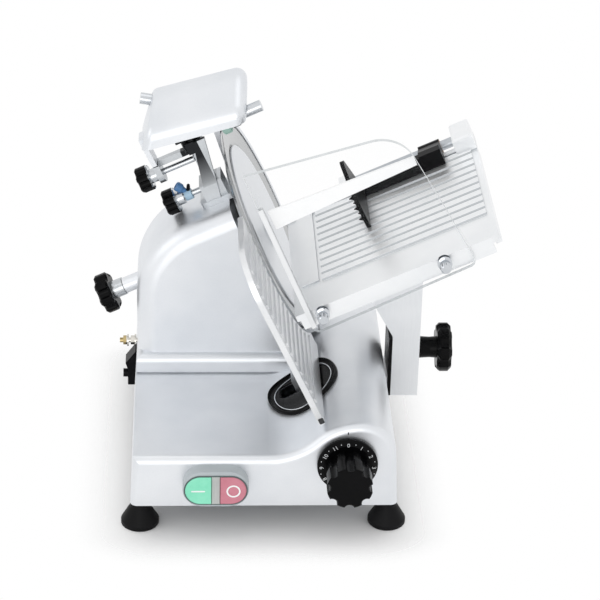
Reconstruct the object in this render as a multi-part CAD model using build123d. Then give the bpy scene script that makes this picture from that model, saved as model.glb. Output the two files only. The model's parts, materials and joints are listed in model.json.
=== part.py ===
"""Gravity-feed food slicer, every piece its own node. Millimetres, +Z up, front at low Y."""

import os
from math import atan, cos, degrees, pi, radians, sin, sqrt, tan

from build123d import *

# Overall sizes of the base and the housing
base_width = 253.0
base_depth = 312.0
foot_height = 26.0
deck_height = 78.5
ridge_height = deck_height + 34.9
ridge_radius = 33.5
slope_run = 85.0
wall = 5.0
wall_draft = 3.2
corner_round = 7.0

# Fits shared by every moving pair
running_fit = 0.04
slip_gap = 0.35
air_gap = 1.0

# Blade and the tilted frame: x back, y up the slope, z square to the blade towards the food.
# The frame stands on the dial, so the gauge gear stays inside the ridge at any tilt.
tilt = 25.0
blade_radius = 110.0
dial_x = base_width / 2 - 49.3
dial_height = deck_height - 4.9
dial_y = -blade_radius - 46.5
dial_z = 3.4
blade_centre = (
    dial_x - dial_z * cos(radians(tilt)) + dial_y * sin(radians(tilt)),
    214.0,
    dial_height - dial_z * sin(radians(tilt)) - dial_y * cos(radians(tilt)),
)
blade_dish = 9.2
cover_radius = blade_radius - 23.5
guard_gap = 1.8
guard_rim = 7.5
guard_top_angle = 50.0
guard_low_angle = -100.0

# Motor housing
housing_front = 166.0
housing_back = 262.0
housing_left = -base_width / 2 + 4.5
housing_top = 51.0
housing_face = -20.0
housing_foot = (
    deck_height - 6.5 - blade_centre[2] - housing_face * sin(radians(tilt))
) / cos(radians(tilt))
housing_round = 85.0
housing_edge = 18.0
plinth_height = deck_height + 19.5
plinth_step = 8.0
plinth_gap = 1.6

# Drive
bearing_bore = 12.5
bearing_radius = 26.0
bearing_width = 15.0
blade_pulley_radius = 36.0
motor_pulley_radius = 16.0
motor_drop = 86.0
motor_radius = 37.0
belt_thickness = 2.0
belt_width = 16.0
belt_middle = -77.0
rotor_radius = 6.0
tie_rod_radius = 4.0

# Thickness gauge and dial
gauge_travel = 15.0
gauge_thickness = 5.5
gauge_rib = 1.5
gauge_front = -199.0
gauge_low = -blade_radius - 7
gauge_high = 64.0
gauge_gap = 3.0
arm_centre = -97.0
slide_level = -blade_radius - 55
slide_height = 26.0
slide_back = -34.0
slide_front = -8.0
guide_radius = 5.0
guide_spacing = 44.0
dial_radius = 28.5
dial_shaft_radius = 4.0
dial_turn = 300.0
cam_radius = 30.0
cam_start = 10.0
follower_radius = 2.5

# Carriage
rail_x = base_width / 2 - 22.5
rail_height = ridge_height - 46.4
rail_radius = 8.0
guide_height = rail_height - 27.0
slider_middle = 178.0
slider_length = 50.0
post_left = base_width / 2 + 3.5
post_right = post_left + 27.0
table_level = -10.0
table_plate = 6.0
table_front = -182.0
table_back = 14.0
table_near = 16.0
table_far = 218.0
table_rib = 1.8
lip_height = 4.5
guard_sheet = 5.0
guard_stand = 0.6
pusher_rod_radius = 5.0
pusher_rod_x = 26.0
pusher_rod_y = -3.5
pusher_near = 163.0
pusher_far = 185.0
pusher_bush_radius = 6.4
pusher_face = 101.0

# Sharpener
post_z = -30.0
post_radius = 6.0
head_low = blade_radius + 11.0
head_front = -30.0
head_back = 36.0
head_wall = 3.0
head_ends = ((head_low + 16, -73.0), (head_low + 1.5, 30.0), (head_low + 35, 48.5), (head_low + 50, -45.0))
head_fall = 22.0
pin_lean = 34.0
cap_radius = 5.6
pin_radius = 4.0
pin_travel = 4.0
clamp_low = housing_top + 13.6
clamp_high = head_low - 23.5

# Switch
switch_x = -46.0
switch_z = (deck_height + foot_height) / 2 + 0.75
switch_width = 62.0
switch_height = 38.0
switch_depth = 15.0
switch_rim = 2.0
lamp_width = 8.0
button_rise = 2.0
button_travel = 3.0

blade_plane = Plane(
    origin=blade_centre,
    x_dir=(0, 1, 0),
    z_dir=(cos(radians(tilt)), 0, sin(radians(tilt))),
)


def tilted(shape):
    """Place a piece drawn in the blade frame."""
    return blade_plane * shape


def on_tilt(y, z):
    """Machine X and Z of a point given in the blade frame."""
    x = blade_centre[0] + z * cos(radians(tilt)) - y * sin(radians(tilt))
    return x, blade_centre[2] + z * sin(radians(tilt)) + y * cos(radians(tilt))


def block(x, y, z):
    """Block between pairs of limits."""
    middle = Pos((x[0] + x[1]) / 2, (y[0] + y[1]) / 2, (z[0] + z[1]) / 2)
    return middle * Box(x[1] - x[0], y[1] - y[0], z[1] - z[0])


def rod(radius, start, end):
    """Round bar between two points."""
    axis = Vector(*end) - Vector(*start)
    plane = Plane(origin=start, z_dir=axis)
    return plane * Cylinder(radius, axis.length, align=(Align.CENTER, Align.CENTER, Align.MIN))


def drum(radius, low, high):
    """Round bar along the blade axis."""
    return rod(radius, (0, 0, low), (0, 0, high))


def turned(points):
    """Body of revolution about Z from radius and height pairs."""
    return revolve(Plane.XZ * make_face(Polyline(*points, close=True).edges()), Axis.Z)


def along_y(face, front, back):
    """Extrude a drawing of X and Z from front to back."""
    return Pos(0, front, 0) * extrude(Plane.XZ * face, amount=back - front, dir=(0, 1, 0))


def along_x(face, left, right):
    """Extrude a drawing of Y and Z from left to right."""
    return Pos(left, 0, 0) * extrude(Plane.YZ * face, amount=right - left, dir=(1, 0, 0))


def along_z(face, low, high):
    """Extrude a drawing of X and Y from low to high."""
    return Pos(0, 0, low) * extrude(face, amount=high - low, dir=(0, 0, 1))


def arc(centre, radius, start, end):
    """Arc of a drawing between two angles in degrees."""
    turns = [radians(start + (end - start) * part) for part in (0, 0.5, 1)]
    points = [(centre[0] + radius * cos(t), centre[1] + radius * sin(t)) for t in turns]
    return ThreePointArc(*points)


def outline(*steps):
    """Closed drawing through points and arcs, straight between them."""
    edges = []
    pen = None
    for step in steps:
        start = Vector(*step) if isinstance(step, tuple) else step @ 0
        first = start if pen is None else first
        if pen is not None and (pen - start).length > 1e-6:
            edges.append(Line(pen, start))
        pen = start
        if not isinstance(step, tuple):
            edges.append(step)
            pen = step @ 1
    if (pen - first).length > 1e-6:
        edges.append(Line(pen, first))
    return make_face(edges)


def lobed(radius, lobes, depth, height, edge):
    """Lobed hand knob standing on Z, hollows between its lobes."""
    hollow = radius * sin(pi / lobes) * 0.62
    outline = Circle(radius) - [
        place * Circle(hollow) for place in PolarLocations(radius + hollow - depth, lobes)
    ]
    knob = extrude(outline, amount=height)
    rims = knob.edges().group_by(Axis.Z)
    return chamfer(rims[-1] + rims[0], edge)


parts = {}

# Base casting: drawn as one section of deck, slope and ridge, then hollowed from below
ridge_x = base_width / 2 - ridge_radius - 3.0
slope_start = ridge_x - slope_run
slope_rise = ridge_height - deck_height
slope_radius = (slope_run**2 + slope_rise**2) / (4 * slope_rise)
slope_angle = 2 * degrees(atan(slope_rise / slope_run))


def base_section(inset, floor):
    """Cross-section of the base, drawn inwards by the inset."""
    half = base_width / 2 - inset
    low = (slope_start, deck_height + slope_radius)
    high = (ridge_x, ridge_height - slope_radius)
    crown = (ridge_x, ridge_height - ridge_radius)
    return outline(
        (-half, floor),
        (-half + wall_draft, deck_height - inset),
        arc(low, slope_radius + inset, -90, -90 + slope_angle),
        arc(high, slope_radius - inset, 90 + slope_angle, 90),
        arc(crown, ridge_radius - inset, 90, 0),
        (half, floor),
    )


def housing_section(inset):
    """Cross-section of the motor housing: upright left wall, round shoulder, sloping top."""
    low = on_tilt(housing_foot, housing_face - inset)
    shoulder_x = housing_left + housing_round
    shoulder_y = housing_top - housing_round
    reach = shoulder_x - blade_centre[0] + shoulder_y * sin(radians(tilt))
    shoulder = on_tilt(shoulder_y, reach / cos(radians(tilt)))
    return outline(
        low,
        (housing_left + inset, low[1]),
        arc(shoulder, housing_round - inset, 180, 90 + tilt),
        on_tilt(housing_top - inset, housing_face - inset),
    )


def softened(body, radius, skipped):
    """Round the front and back outlines of a body, leaving the edges the test names."""
    ends = body.faces().sort_by(Axis.Y)
    edges = [e for e in ends[0].edges() + ends[-1].edges() if not skipped(e)]
    return fillet(edges, radius)


base_body = softened(
    along_y(base_section(0, foot_height), 0, base_depth),
    corner_round,
    lambda edge: edge.center().Z < foot_height + 0.1,
)
housing_low = on_tilt(housing_foot, housing_face)[1]
housing_right = on_tilt((housing_top + housing_foot) / 2, housing_face)[0]
housing_body = softened(
    along_y(housing_section(0), housing_front, housing_back),
    housing_edge,
    lambda edge: edge.center().Z < housing_low + 0.1 or abs(edge.center().X - housing_right) < 0.5,
)
plinth = block(
    (housing_left - 0.6, on_tilt(housing_foot + 17.4, housing_face)[0]),
    (housing_front - plinth_step, housing_back + plinth_step),
    (deck_height + plinth_gap, plinth_height),
)
plinth = fillet(plinth.faces().sort_by(Axis.Z)[-1].edges(), plinth_step - 0.5)
plinth += block(
    (housing_left + 2, on_tilt(housing_foot + 17.4, housing_face)[0]),
    (housing_front - plinth_step + 2.5, housing_back + plinth_step - 2.5),
    (housing_low, plinth_height - plinth_step),
)
outer_body = base_body + housing_body + plinth
base_room = along_y(base_section(wall, foot_height - wall), wall, base_depth - wall)
room_right = on_tilt((housing_top - wall + housing_foot) / 2, housing_face - wall)[0]
housing_room = softened(
    along_y(housing_section(wall), housing_front + wall, housing_back - wall),
    housing_edge - wall,
    lambda edge: edge.center().Z < housing_low + 0.1 or abs(edge.center().X - room_right) < 0.5,
)
casting = outer_body - base_room - housing_room

# Lugs inside the casting: gauge rods, carriage rail, collar of the tie rod
lug_span = (arm_centre - guide_spacing / 2 - 11, arm_centre + guide_spacing / 2 + 11)
lug_low = slide_level - 11
lug_left = (slide_back - gauge_travel - 13, slide_back - gauge_travel - 5)
lug_right = (slide_front + 6, slide_front + 14)
gauge_lugs = tilted(
    block(lug_span, (lug_low, slide_level + 80), lug_left)
    + block(lug_span, (lug_low, slide_level + 80), lug_right)
)
rail_front = 42.0
rail_lug = 7.0
rail_lug_span = (rail_x - 14, base_width / 2)
rail_lugs = block(rail_lug_span, (rail_front, rail_front + rail_lug), (guide_height - 8, ridge_height))
rail_lugs += block(
    rail_lug_span,
    (base_depth - wall - rail_lug, base_depth),
    (guide_height - 8, ridge_height),
)
collar_far = (housing_left - blade_centre[0]) / cos(radians(tilt)) - 14
casting += (gauge_lugs + rail_lugs) & outer_body
casting += tilted(drum(8, collar_far, collar_far + 22))

# Openings in the casting
bearing_tube = bearing_radius + 4
guide_rods = [
    rod(guide_radius, (arm_centre + side * guide_spacing / 2, slide_level, lug_left[0] + 1),
        (arm_centre + side * guide_spacing / 2, slide_level, lug_right[1] - 1))
    for side in (-1, 1)
]
slot_size = slide_front - slide_back - 8 + gauge_travel + 6
slot_middle = (slide_front + slide_back - gauge_travel) / 2
slot_form = RectangleRounded(slot_size, slot_size, 12)
slot_place = Pos(arm_centre, slide_level + 30, slot_middle)
arm_opening = tilted(slot_place * along_y(slot_form, 0, 60))
rail_slot = block(
    (rail_x, base_width / 2 + wall),
    (rail_front + rail_lug + 6, base_depth - wall - rail_lug - 8),
    (rail_height - 10.5, rail_height + 9.5),
)
rail_start = (rail_x, rail_front - 2, rail_height)
rail_end = (rail_x, base_depth - wall, rail_height)
guide_start = (rail_x, rail_front - 2, guide_height)
guide_end = (rail_x, base_depth - wall, guide_height)
casting -= tilted(drum(bearing_tube, housing_face - wall - 1, housing_face + 1))
casting -= tilted(drum(tie_rod_radius + running_fit, collar_far - 1, collar_far + 40))
casting -= tilted(guide_rods[0] + guide_rods[1])
casting -= arm_opening
casting -= rail_slot
casting -= rod(rail_radius, rail_start, rail_end)
casting -= rod(guide_radius, guide_start, guide_end)
casting -= rod(8, (dial_x, -1, dial_height), (dial_x, wall + 1, dial_height))
gland_height = deck_height - 31.5
stud_height = deck_height + 6.5
side_y = blade_centre[1]
gland_wall = -base_width / 2 + wall_draft
casting -= rod(6, (gland_wall - 8, side_y, gland_height), (gland_wall + 8, side_y, gland_height))
casting -= rod(2.5, (gland_wall - 8, side_y, stud_height), (gland_wall + 12, side_y, stud_height))
parts["base_casting"] = casting

# Bottom cover with cooling slots, and the four rubber feet
cover_half = base_width / 2 - wall - 0.7
bottom_cover = block(
    (-cover_half, cover_half),
    (wall + 0.3, base_depth - wall - 0.3),
    (foot_height, foot_height + 2),
)
vent = extrude(SlotOverall(60, 6), amount=20)
for place in GridLocations(80, 16, 2, 5):
    bottom_cover -= Pos(0, base_depth / 2, foot_height - 10) * place * vent
parts["bottom_cover"] = bottom_cover

foot = turned([(0, 0), (17, 0), (18, 1), (18, 5), (9.5, 20), (8.5, foot_height), (0, foot_height)])
foot_x = base_width / 2 - 9
parts["feet"] = Compound(
    [Pos(x, y, 0) * foot for x in (-foot_x, foot_x) for y in (12, base_depth - 14)]
)

# Switch: bezel with a pocket for two half buttons and the lamp window between them
bezel = Pos(switch_x, 0, switch_z) * extrude(
    Plane.XZ * SlotOverall(switch_width, switch_height), amount=switch_depth
)
bezel = chamfer(bezel.faces().sort_by(Axis.Y)[0].edges(), 1.6)
pocket_width = switch_width - 2 * switch_rim
pocket_height = switch_height - 4 * switch_rim
pocket = extrude(Plane.XZ * SlotOverall(pocket_width, pocket_height), amount=switch_depth)
bezel -= Pos(switch_x, -3, switch_z) * pocket
parts["switch_bezel"] = bezel

button_back = -3 - button_travel - air_gap
button_face = -switch_depth - button_rise
button_form = Pos(switch_x, button_back, switch_z) * extrude(
    Plane.XZ * SlotOverall(pocket_width - 2 * slip_gap, pocket_height - 2 * slip_gap),
    amount=button_back - button_face,
)
button_form = chamfer(button_form.faces().sort_by(Axis.Y)[0].edges(), 1.0)
half = pocket_width / 2 + 1
inner = lamp_width / 2 + slip_gap
tall = (switch_z - switch_height, switch_z + switch_height)
deep = (button_face - 1, button_back + 1)
parts["start_button"] = button_form & block((switch_x - half, switch_x - inner), deep, tall)
parts["stop_button"] = button_form & block((switch_x + inner, switch_x + half), deep, tall)
lamp = block(
    (switch_x - lamp_width / 2, switch_x + lamp_width / 2),
    (-switch_depth - 1, -3),
    (switch_z - pocket_height / 2, switch_z + pocket_height / 2),
)
parts["lamp_lens"] = fillet(lamp.faces().sort_by(Axis.Y)[0].edges(), 0.8)

# Earth stud with nuts and the cable gland on the left wall
stud = rod(2.5, (gland_wall + 10, side_y, stud_height), (gland_wall - 17, side_y, stud_height))
nut = extrude(Plane.YZ * RegularPolygon(4.6, 6), amount=4)
washer = extrude(Plane.YZ * Circle(6), amount=1.5)
stud_face = gland_wall - 0.6
for shift, piece in ((-1.5, washer), (-5.5, nut), (-9, washer), (-13, nut)):
    stud += Pos(stud_face + shift, side_y, stud_height) * piece
stud += Pos(gland_wall + wall, side_y, stud_height) * nut
parts["earth_stud"] = stud - casting
gland_low = (gland_height - 9 - foot_height) / (deck_height - foot_height)
gland_face = -base_width / 2 + wall_draft * gland_low
gland_lean = wall_draft / (deck_height - foot_height)
gland_form = outline(
    (gland_face, gland_height - 9),
    (gland_face - 6.8, gland_height - 9),
    (gland_face - 6.8, gland_height + 9),
    (gland_face - 9, gland_height + 16),
    (gland_face - 1.5 + 38 * gland_lean, gland_height + 29),
    (gland_face + 38 * gland_lean, gland_height + 29),
)
gland = along_y(gland_form, side_y - 9, side_y + 9)
gland += rod(4.3, (gland_face - 6, side_y, gland_height), (gland_face - 11.5, side_y, gland_height))
gland += rod(6, (gland_face - 3, side_y, gland_height), (gland_face + wall + 4, side_y, gland_height))
gland -= rod(3, (gland_face - 9, side_y, gland_height), (gland_face + wall + 5, side_y, gland_height))
parts["cable_gland"] = gland - (outer_body - rod(6, (gland_wall - 8, side_y, gland_height),
                                                 (gland_wall + 8, side_y, gland_height)))

# Dial: shaft through the front wall, spiral cam inside, numbered disc and lobed knob outside
dial_axis = Plane(origin=(dial_x, 0, dial_height), x_dir=(1, 0, 0), z_dir=(0, -1, 0))
cam_front = 30.0
cam_width = 8.0
bush_bore = dial_shaft_radius + running_fit
parts["dial_bush"] = dial_axis * turned(
    [(bush_bore, -14), (8, -14), (8, 0), (13, 0), (13, 3), (bush_bore, 3)]
)
disc_back = 3 + slip_gap
disc_front = disc_back + 6
knob_front = 46.0
parts["dial_disc"] = dial_axis * turned(
    [
        (dial_shaft_radius, disc_back),
        (dial_radius, disc_back),
        (dial_radius, disc_back + 2),
        (dial_radius - 5, disc_front),
        (dial_shaft_radius, disc_front),
    ]
)
skirt = Pos(0, 0, disc_front) * lobed(19.8, 8, 2.8, 20, 0.5)
knob = skirt + Pos(0, 0, 25) * lobed(21.5, 8, 3.4, knob_front - 25, 1.2)
parts["dial_knob"] = dial_axis * (knob - drum(dial_shaft_radius, 0, knob_front - 6))
parts["dial_shaft"] = dial_axis * drum(dial_shaft_radius, -cam_front - cam_width - 4, knob_front - 6)

# Spiral cam: its groove carries the follower outwards by the gauge travel in one dial turn
groove_half = follower_radius + slip_gap
groove_lead = gauge_travel / dial_turn
groove_ends = (-20.0, dial_turn + 12.0)


def groove_edge(offset):
    """Spiral edge of the cam groove as short arcs, at a radial offset from the follower path."""
    points = []
    for step in range(17):
        turn = groove_ends[0] + (groove_ends[1] - groove_ends[0]) * step / 16
        radius = cam_start + groove_lead * turn + offset
        angle = radians(180 + tilt - turn)
        points.append((radius * cos(angle), radius * sin(angle)))
    return [ThreePointArc(*points[i : i + 3]) for i in range(0, 15, 2)]


outer_edge = groove_edge(groove_half * 1.04)
inner_edge = groove_edge(-groove_half * 1.04)
groove = make_face(
    [
        *outer_edge,
        Line(outer_edge[-1] @ 1, inner_edge[-1] @ 1),
        *inner_edge,
        Line(inner_edge[0] @ 0, outer_edge[0] @ 0),
    ]
)
cam = drum(cam_radius, -cam_front - cam_width, -cam_front)
cam -= along_z(groove, -cam_front - cam_width, -cam_front - 2.5)
parts["spiral_cam"] = dial_axis * (cam - drum(dial_shaft_radius, -80, 0))

# Gauge plate: rounded front corner, hollow edge following the blade, ribs along the feed
hollow_radius = blade_radius + gauge_gap
gauge_corner = 40.0
gauge_tail = housing_front - blade_centre[1] - 4


def hollow_at(y, radius):
    """Front-to-back position of the hollow edge at a height."""
    return -sqrt(radius**2 - y**2)


tail_y = -sqrt(hollow_radius**2 - gauge_tail**2)
top_angle = 180 - degrees(atan(gauge_high / -hollow_at(gauge_high, hollow_radius)))
tail_angle = 180 + degrees(atan(tail_y / gauge_tail))
gauge_form = outline(
    (gauge_front, gauge_low),
    (gauge_tail, gauge_low),
    arc((0, 0), hollow_radius, tail_angle, top_angle),
    (gauge_front + gauge_corner, gauge_high),
    arc((gauge_front + gauge_corner, gauge_high - gauge_corner), gauge_corner, 90, 180),
)
gauge_back = -gauge_thickness - gauge_rib
gauge_plate = along_z(gauge_form, gauge_back, -gauge_rib)
rib_pitch = 11.0
rib_levels = [gauge_low + 23 + rib_pitch * i for i in range(14)]
for level in rib_levels:
    front = gauge_front + 6
    rise = level - (gauge_high - gauge_corner)
    if rise > 0:
        front = gauge_front + gauge_corner - sqrt((gauge_corner - 6) ** 2 - rise**2)
    back = hollow_at(level, hollow_radius + 5)
    gauge_plate += block((front, back), (level - 2, level + 2), (-gauge_rib, 0))
parts["gauge_plate"] = tilted(gauge_plate)

# Gauge arm: pad behind the plate, then a web down through the deck to the slide
pad = block((arm_centre - 36, arm_centre + 7), (-112, -74), (gauge_back - 6, gauge_back))
web = outline(
    (slide_level + slide_height / 2, slide_back + 4),
    (slide_level + slide_height / 2, slide_front - 4),
    (-112, gauge_back - 6),
    (-74, gauge_back - 6),
    (-112, slide_back + 4),
)
arm = pad + along_x(web, arm_centre - 11, arm_centre + 7)
bolt_places = [(arm_centre - 30.5, -104), (arm_centre - 30.5, -82)]
for x, y in bolt_places:
    arm -= rod(2.5, (x, y, gauge_back - 7), (x, y, gauge_back))
parts["gauge_arm"] = tilted(arm)
bolts = []
for x, y in bolt_places:
    head = Pos(x, y, gauge_back - 10) * extrude(RegularPolygon(4.5, 6), amount=4)
    bolts.append(head + rod(2.5, (x, y, gauge_back - 7), (x, y, gauge_back)))
parts["gauge_bolts"] = tilted(Compound(bolts))

# Gauge slide on its two rods, with the finger and pin that ride in the cam
slide_low = slide_level - slide_height / 2
slide_high = slide_level + slide_height / 2
pin_z = dial_z - cam_start
finger_front = cam_front + cam_width + 4 - blade_centre[1]
slide = block((lug_span[0], lug_span[1]), (slide_low, slide_high), (slide_back, slide_front))
slide += block((finger_front, lug_span[0] + 6), (slide_level, slide_high + 4), (pin_z - 5, pin_z + 4))
slide += rod(
    follower_radius,
    (finger_front - 8.5, dial_y, pin_z),
    (finger_front + 2, dial_y, pin_z),
)
for side in (-1, 1):
    x = arm_centre + side * guide_spacing / 2
    rod_ends = (x, slide_level, slide_back - 1), (x, slide_level, slide_front + 1)
    slide -= rod(guide_radius + running_fit, *rod_ends)
parts["gauge_slide"] = tilted(slide)
parts["gauge_rods"] = tilted(Compound(guide_rods))

# Rubber boot lying on the slope round the arm
boot_skin = along_y(base_section(-1.6, foot_height), 0, base_depth) - outer_body
boot = boot_skin & tilted(slot_place * along_y(Ellipse(42, 37), -10, 70))
parts["gauge_boot"] = boot - arm_opening

# Blade and everything that turns with it
blade = turned(
    [
        (20, -blade_dish),
        (20, 3 - blade_dish),
        (cover_radius - 2.5, 3 - blade_dish),
        (cover_radius + 3.5, -2.0),
        (blade_radius, 0),
        (blade_radius, -0.4),
        (blade_radius - 4, -3.4),
        (cover_radius + 5.5, -5.4),
        (cover_radius, -blade_dish),
    ]
)
shaft_end = belt_middle - belt_width / 2 - 8
shaft_hollow = tie_rod_radius + 1.5
shaft = turned(
    [
        (shaft_hollow, shaft_end),
        (bearing_bore, shaft_end),
        (bearing_bore, housing_face + 0.4),
        (34, housing_face + 4),
        (34, -blade_dish),
        (20, -blade_dish),
        (20, 2.6 - blade_dish),
        (shaft_hollow, 2.6 - blade_dish),
    ]
)
screw_places = PolarLocations(27, 4, start_angle=45)
screw = turned([(0, -6.5), (2.5, -6.5), (2.5, 3), (4.5, 3), (4.5, 4.4), (2.0, 5.0), (0, 5.0)])
for place in screw_places:
    hole = place * drum(2.5, -blade_dish - 6.5, 0)
    blade -= hole
    shaft -= hole
parts["blade"] = tilted(blade)
parts["blade_shaft"] = tilted(shaft)
parts["blade_screws"] = tilted(Compound([Pos(0, 0, -blade_dish) * place * screw for place in screw_places]))
belt_low = belt_middle - belt_width / 2
belt_high = belt_middle + belt_width / 2


def pulley(radius, bore):
    """Flat pulley with two thin flanges."""
    return turned(
        [
            (bore, belt_low - 3),
            (radius + 1.6, belt_low - 3),
            (radius + 1.6, belt_low - 0.6),
            (radius, belt_low - 0.6),
            (radius, belt_high + 0.6),
            (radius + 1.6, belt_high + 0.6),
            (radius + 1.6, belt_high + 3),
            (bore, belt_high + 3),
        ]
    )


parts["blade_pulley"] = tilted(pulley(blade_pulley_radius, bearing_bore))
motor_place = Pos(0, -motor_drop, 0)
parts["motor_pulley"] = tilted(motor_place * pulley(motor_pulley_radius, rotor_radius))

# Belt round both pulleys
lean = degrees(atan((blade_pulley_radius - motor_pulley_radius) / motor_drop))


def belt_loop(offset):
    """Closed belt line at an offset from the pulley faces."""
    return outline(
        arc((0, 0), blade_pulley_radius + offset, -lean, 180 + lean),
        arc((0, -motor_drop), motor_pulley_radius + offset, 180 + lean, 360 - lean),
    )


belt = belt_loop(slip_gap + belt_thickness) - belt_loop(slip_gap)
parts["drive_belt"] = tilted(along_z(belt, belt_low, belt_high))

# Motor hung on a flange between the front and back walls of the housing
motor_face = belt_low - 11
motor_room = blade_centre[0] - housing_left - wall - 2
motor_room += (motor_drop - motor_radius + 8) * sin(radians(tilt))
motor_length = min(62.0, motor_face + motor_room / cos(radians(tilt)))
flange_half = (housing_back - housing_front) / 2 - wall
motor = motor_place * turned(
    [
        (rotor_radius + running_fit, motor_face),
        (motor_radius, motor_face),
        (motor_radius, motor_face - motor_length + 8),
        (motor_radius - 8, motor_face - motor_length),
        (rotor_radius + running_fit, motor_face - motor_length),
    ]
)
flange_span = (-motor_drop - 30, -motor_drop + 30)
motor += block((-flange_half, flange_half), flange_span, (motor_face - 5, motor_face))
motor -= motor_place * drum(rotor_radius + running_fit, motor_face - motor_length - 1, motor_face + 1)
parts["motor"] = tilted(motor)
rotor = drum(rotor_radius, motor_face - motor_length + 4, belt_high + 5)
parts["motor_rotor"] = tilted(motor_place * rotor)

# Bearing housing bolted inside the right wall, with its two bearings
tube_back = housing_face - 44.0
bearing_housing = turned(
    [
        (bearing_radius, tube_back),
        (bearing_tube, tube_back),
        (bearing_tube, housing_face - wall - 7),
        (40, housing_face - wall - 7),
        (40, housing_face - wall),
        (bearing_tube, housing_face - wall),
        (bearing_tube, housing_face),
        (bearing_radius, housing_face),
    ]
)
parts["bearing_housing"] = tilted(bearing_housing)
bearing_inner = bearing_bore + running_fit
bearing = turned(
    [
        (bearing_inner, 0),
        (bearing_radius, 0),
        (bearing_radius, bearing_width),
        (bearing_inner, bearing_width),
    ]
)
parts["blade_bearings"] = tilted(
    Compound([Pos(0, 0, tube_back) * bearing, Pos(0, 0, housing_face - bearing_width) * bearing])
)

# Guard: back plate on the housing and a rim round the blade, open at the cutting side
rim_inner = blade_radius + guard_gap
rim_outer = rim_inner + guard_rim
far = 200.0
angles = [guard_low_angle + (guard_top_angle - guard_low_angle) * i / 5 for i in range(6)]
wedge = Polygon(
    (0, 0),
    *[(far * cos(radians(a)), far * sin(radians(a))) for a in angles],
    align=None,
)
plate_face = (Circle(rim_outer) - Circle(42)) & wedge
rim_face = (Circle(rim_outer) - Circle(rim_inner)) & wedge
guard = along_z(plate_face, housing_face, housing_face + 6)
guard += along_z(rim_face, housing_face, 1)
parts["blade_guard"] = tilted(guard)

# Cover disc in the dish of the blade, drawn back by the tie rod through the hollow shaft
cover_back = 3 - blade_dish + 2.8
cover = turned(
    [
        (0, cover_back - 2.4),
        (9, cover_back - 2.4),
        (9, cover_back),
        (cover_radius - 0.5, cover_back),
        (cover_radius, cover_back + 0.8),
        (cover_radius, cover_back + 2.2),
        (cover_radius - 1.5, cover_back + 3),
        (34, cover_back + 3.6),
        (30, cover_back + 5.0),
        (0, cover_back + 5.2),
    ]
)
rod_tip = cover_back + 3
parts["blade_cover"] = tilted(cover - drum(tie_rod_radius + running_fit, cover_back - 5, rod_tip + 0.5))
knob_far = collar_far - 26
tie_knob = Pos(0, 0, knob_far) * lobed(20, 7, 4, 14, 2) + drum(9, knob_far + 12, collar_far - slip_gap)
tie_knob = tie_knob + drum(tie_rod_radius, knob_far + 5, rod_tip)
parts["cover_knob"] = tilted(tie_knob)

# Carriage rail, guide rod, slider with bushes and the shoe that keeps it upright
parts["carriage_shaft"] = rod(rail_radius, rail_start, rail_end)
parts["guide_rod"] = rod(guide_radius, guide_start, guide_end)
slider_span = (slider_middle - slider_length / 2, slider_middle + slider_length / 2)
slider_side = 13.0
bush_radius = rail_radius + 3
slider = block(
    (rail_x - slider_side, rail_x + slider_side),
    slider_span,
    (rail_height - 18, rail_height + 15),
)
slider = fillet(slider.edges().filter_by(Axis.Y), 3)
bore_ends = (rail_x, slider_span[0] - 1, rail_height), (rail_x, slider_span[1] + 1, rail_height)
slider -= rod(bush_radius, *bore_ends)
parts["carriage_slider"] = slider
bush = rod(bush_radius, (0, 0, 0), (0, 18, 0)) - rod(rail_radius + running_fit, (0, -1, 0), (0, 19, 0))
parts["slider_bushes"] = Compound(
    [
        Pos(rail_x, slider_span[0], rail_height) * bush,
        Pos(rail_x, slider_span[1] - 18, rail_height) * bush,
    ]
)
shoe_fit = guide_radius + running_fit
shoe_span = (slider_middle - 15, slider_middle + 15)
shoe = block((rail_x - 10, rail_x + 10), shoe_span, (guide_height - 7, rail_height - 18))
shoe_ends = (rail_x, slider_middle - 20, guide_height), (rail_x, slider_middle + 20, guide_height)
shoe -= rod(shoe_fit, *shoe_ends)
shoe -= block((rail_x - shoe_fit, rail_x + shoe_fit), (0, base_depth), (0, guide_height))
parts["slide_shoe"] = shoe

# Carriage arm: cast post beside the base, flared to the table, tongue through the slot
under = table_level - table_plate
post_front = slider_middle - 22
post_back = slider_middle + 22
post_low = rail_height - 13.0


def under_table(x):
    """Height of the underside of the table above an X."""
    reach = (x - blade_centre[0] + under * sin(radians(tilt))) / cos(radians(tilt))
    return on_tilt(under, reach)[1]


post_form = outline(
    (post_left, post_low),
    (post_right, post_low),
    (post_right, under_table(post_right)),
    (post_left - 36, under_table(post_left - 36)),
    (post_left - 19, rail_height + 88),
    (post_left, rail_height + 54),
)
post = along_y(post_form, post_front, post_back)
post -= along_y(offset(post_form, -6, kind=Kind.INTERSECTION), post_front + 6, post_back + 1)
post += block(
    (rail_x + slider_side, post_left + 6),
    (post_front + 2, post_back - 2),
    (rail_height - 8.5, rail_height + 7.5),
)
knob_height = rail_height + 30.0
stud_radius = 5.0
post -= rod(
    stud_radius + running_fit,
    (post_right - 8, slider_middle, knob_height),
    (post_right + 1, slider_middle, knob_height),
)
pad_form = block((post_left - 3.4, post_left), (post_front, post_back), (post_low, rail_height + 51))
pad_form -= block(
    (post_left - 5, post_left + 5),
    (post_front + 2, post_back - 2),
    (rail_height - 8.5, rail_height + 7.5),
)
parts["carriage_arm"] = post
parts["wear_pad"] = pad_form
lock = Plane(origin=(post_right, slider_middle, knob_height), z_dir=(1, 0, 0))
lock_knob = turned([(0, slip_gap), (11, slip_gap), (10.3, 12), (11, 20), (0, 20)])
lock_knob += Pos(0, 0, 18.5) * lobed(24.5, 7, 3.5, 14.5, 3.2)
lock_knob += drum(stud_radius, -7, 3)
parts["carriage_knob"] = lock * lock_knob

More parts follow.
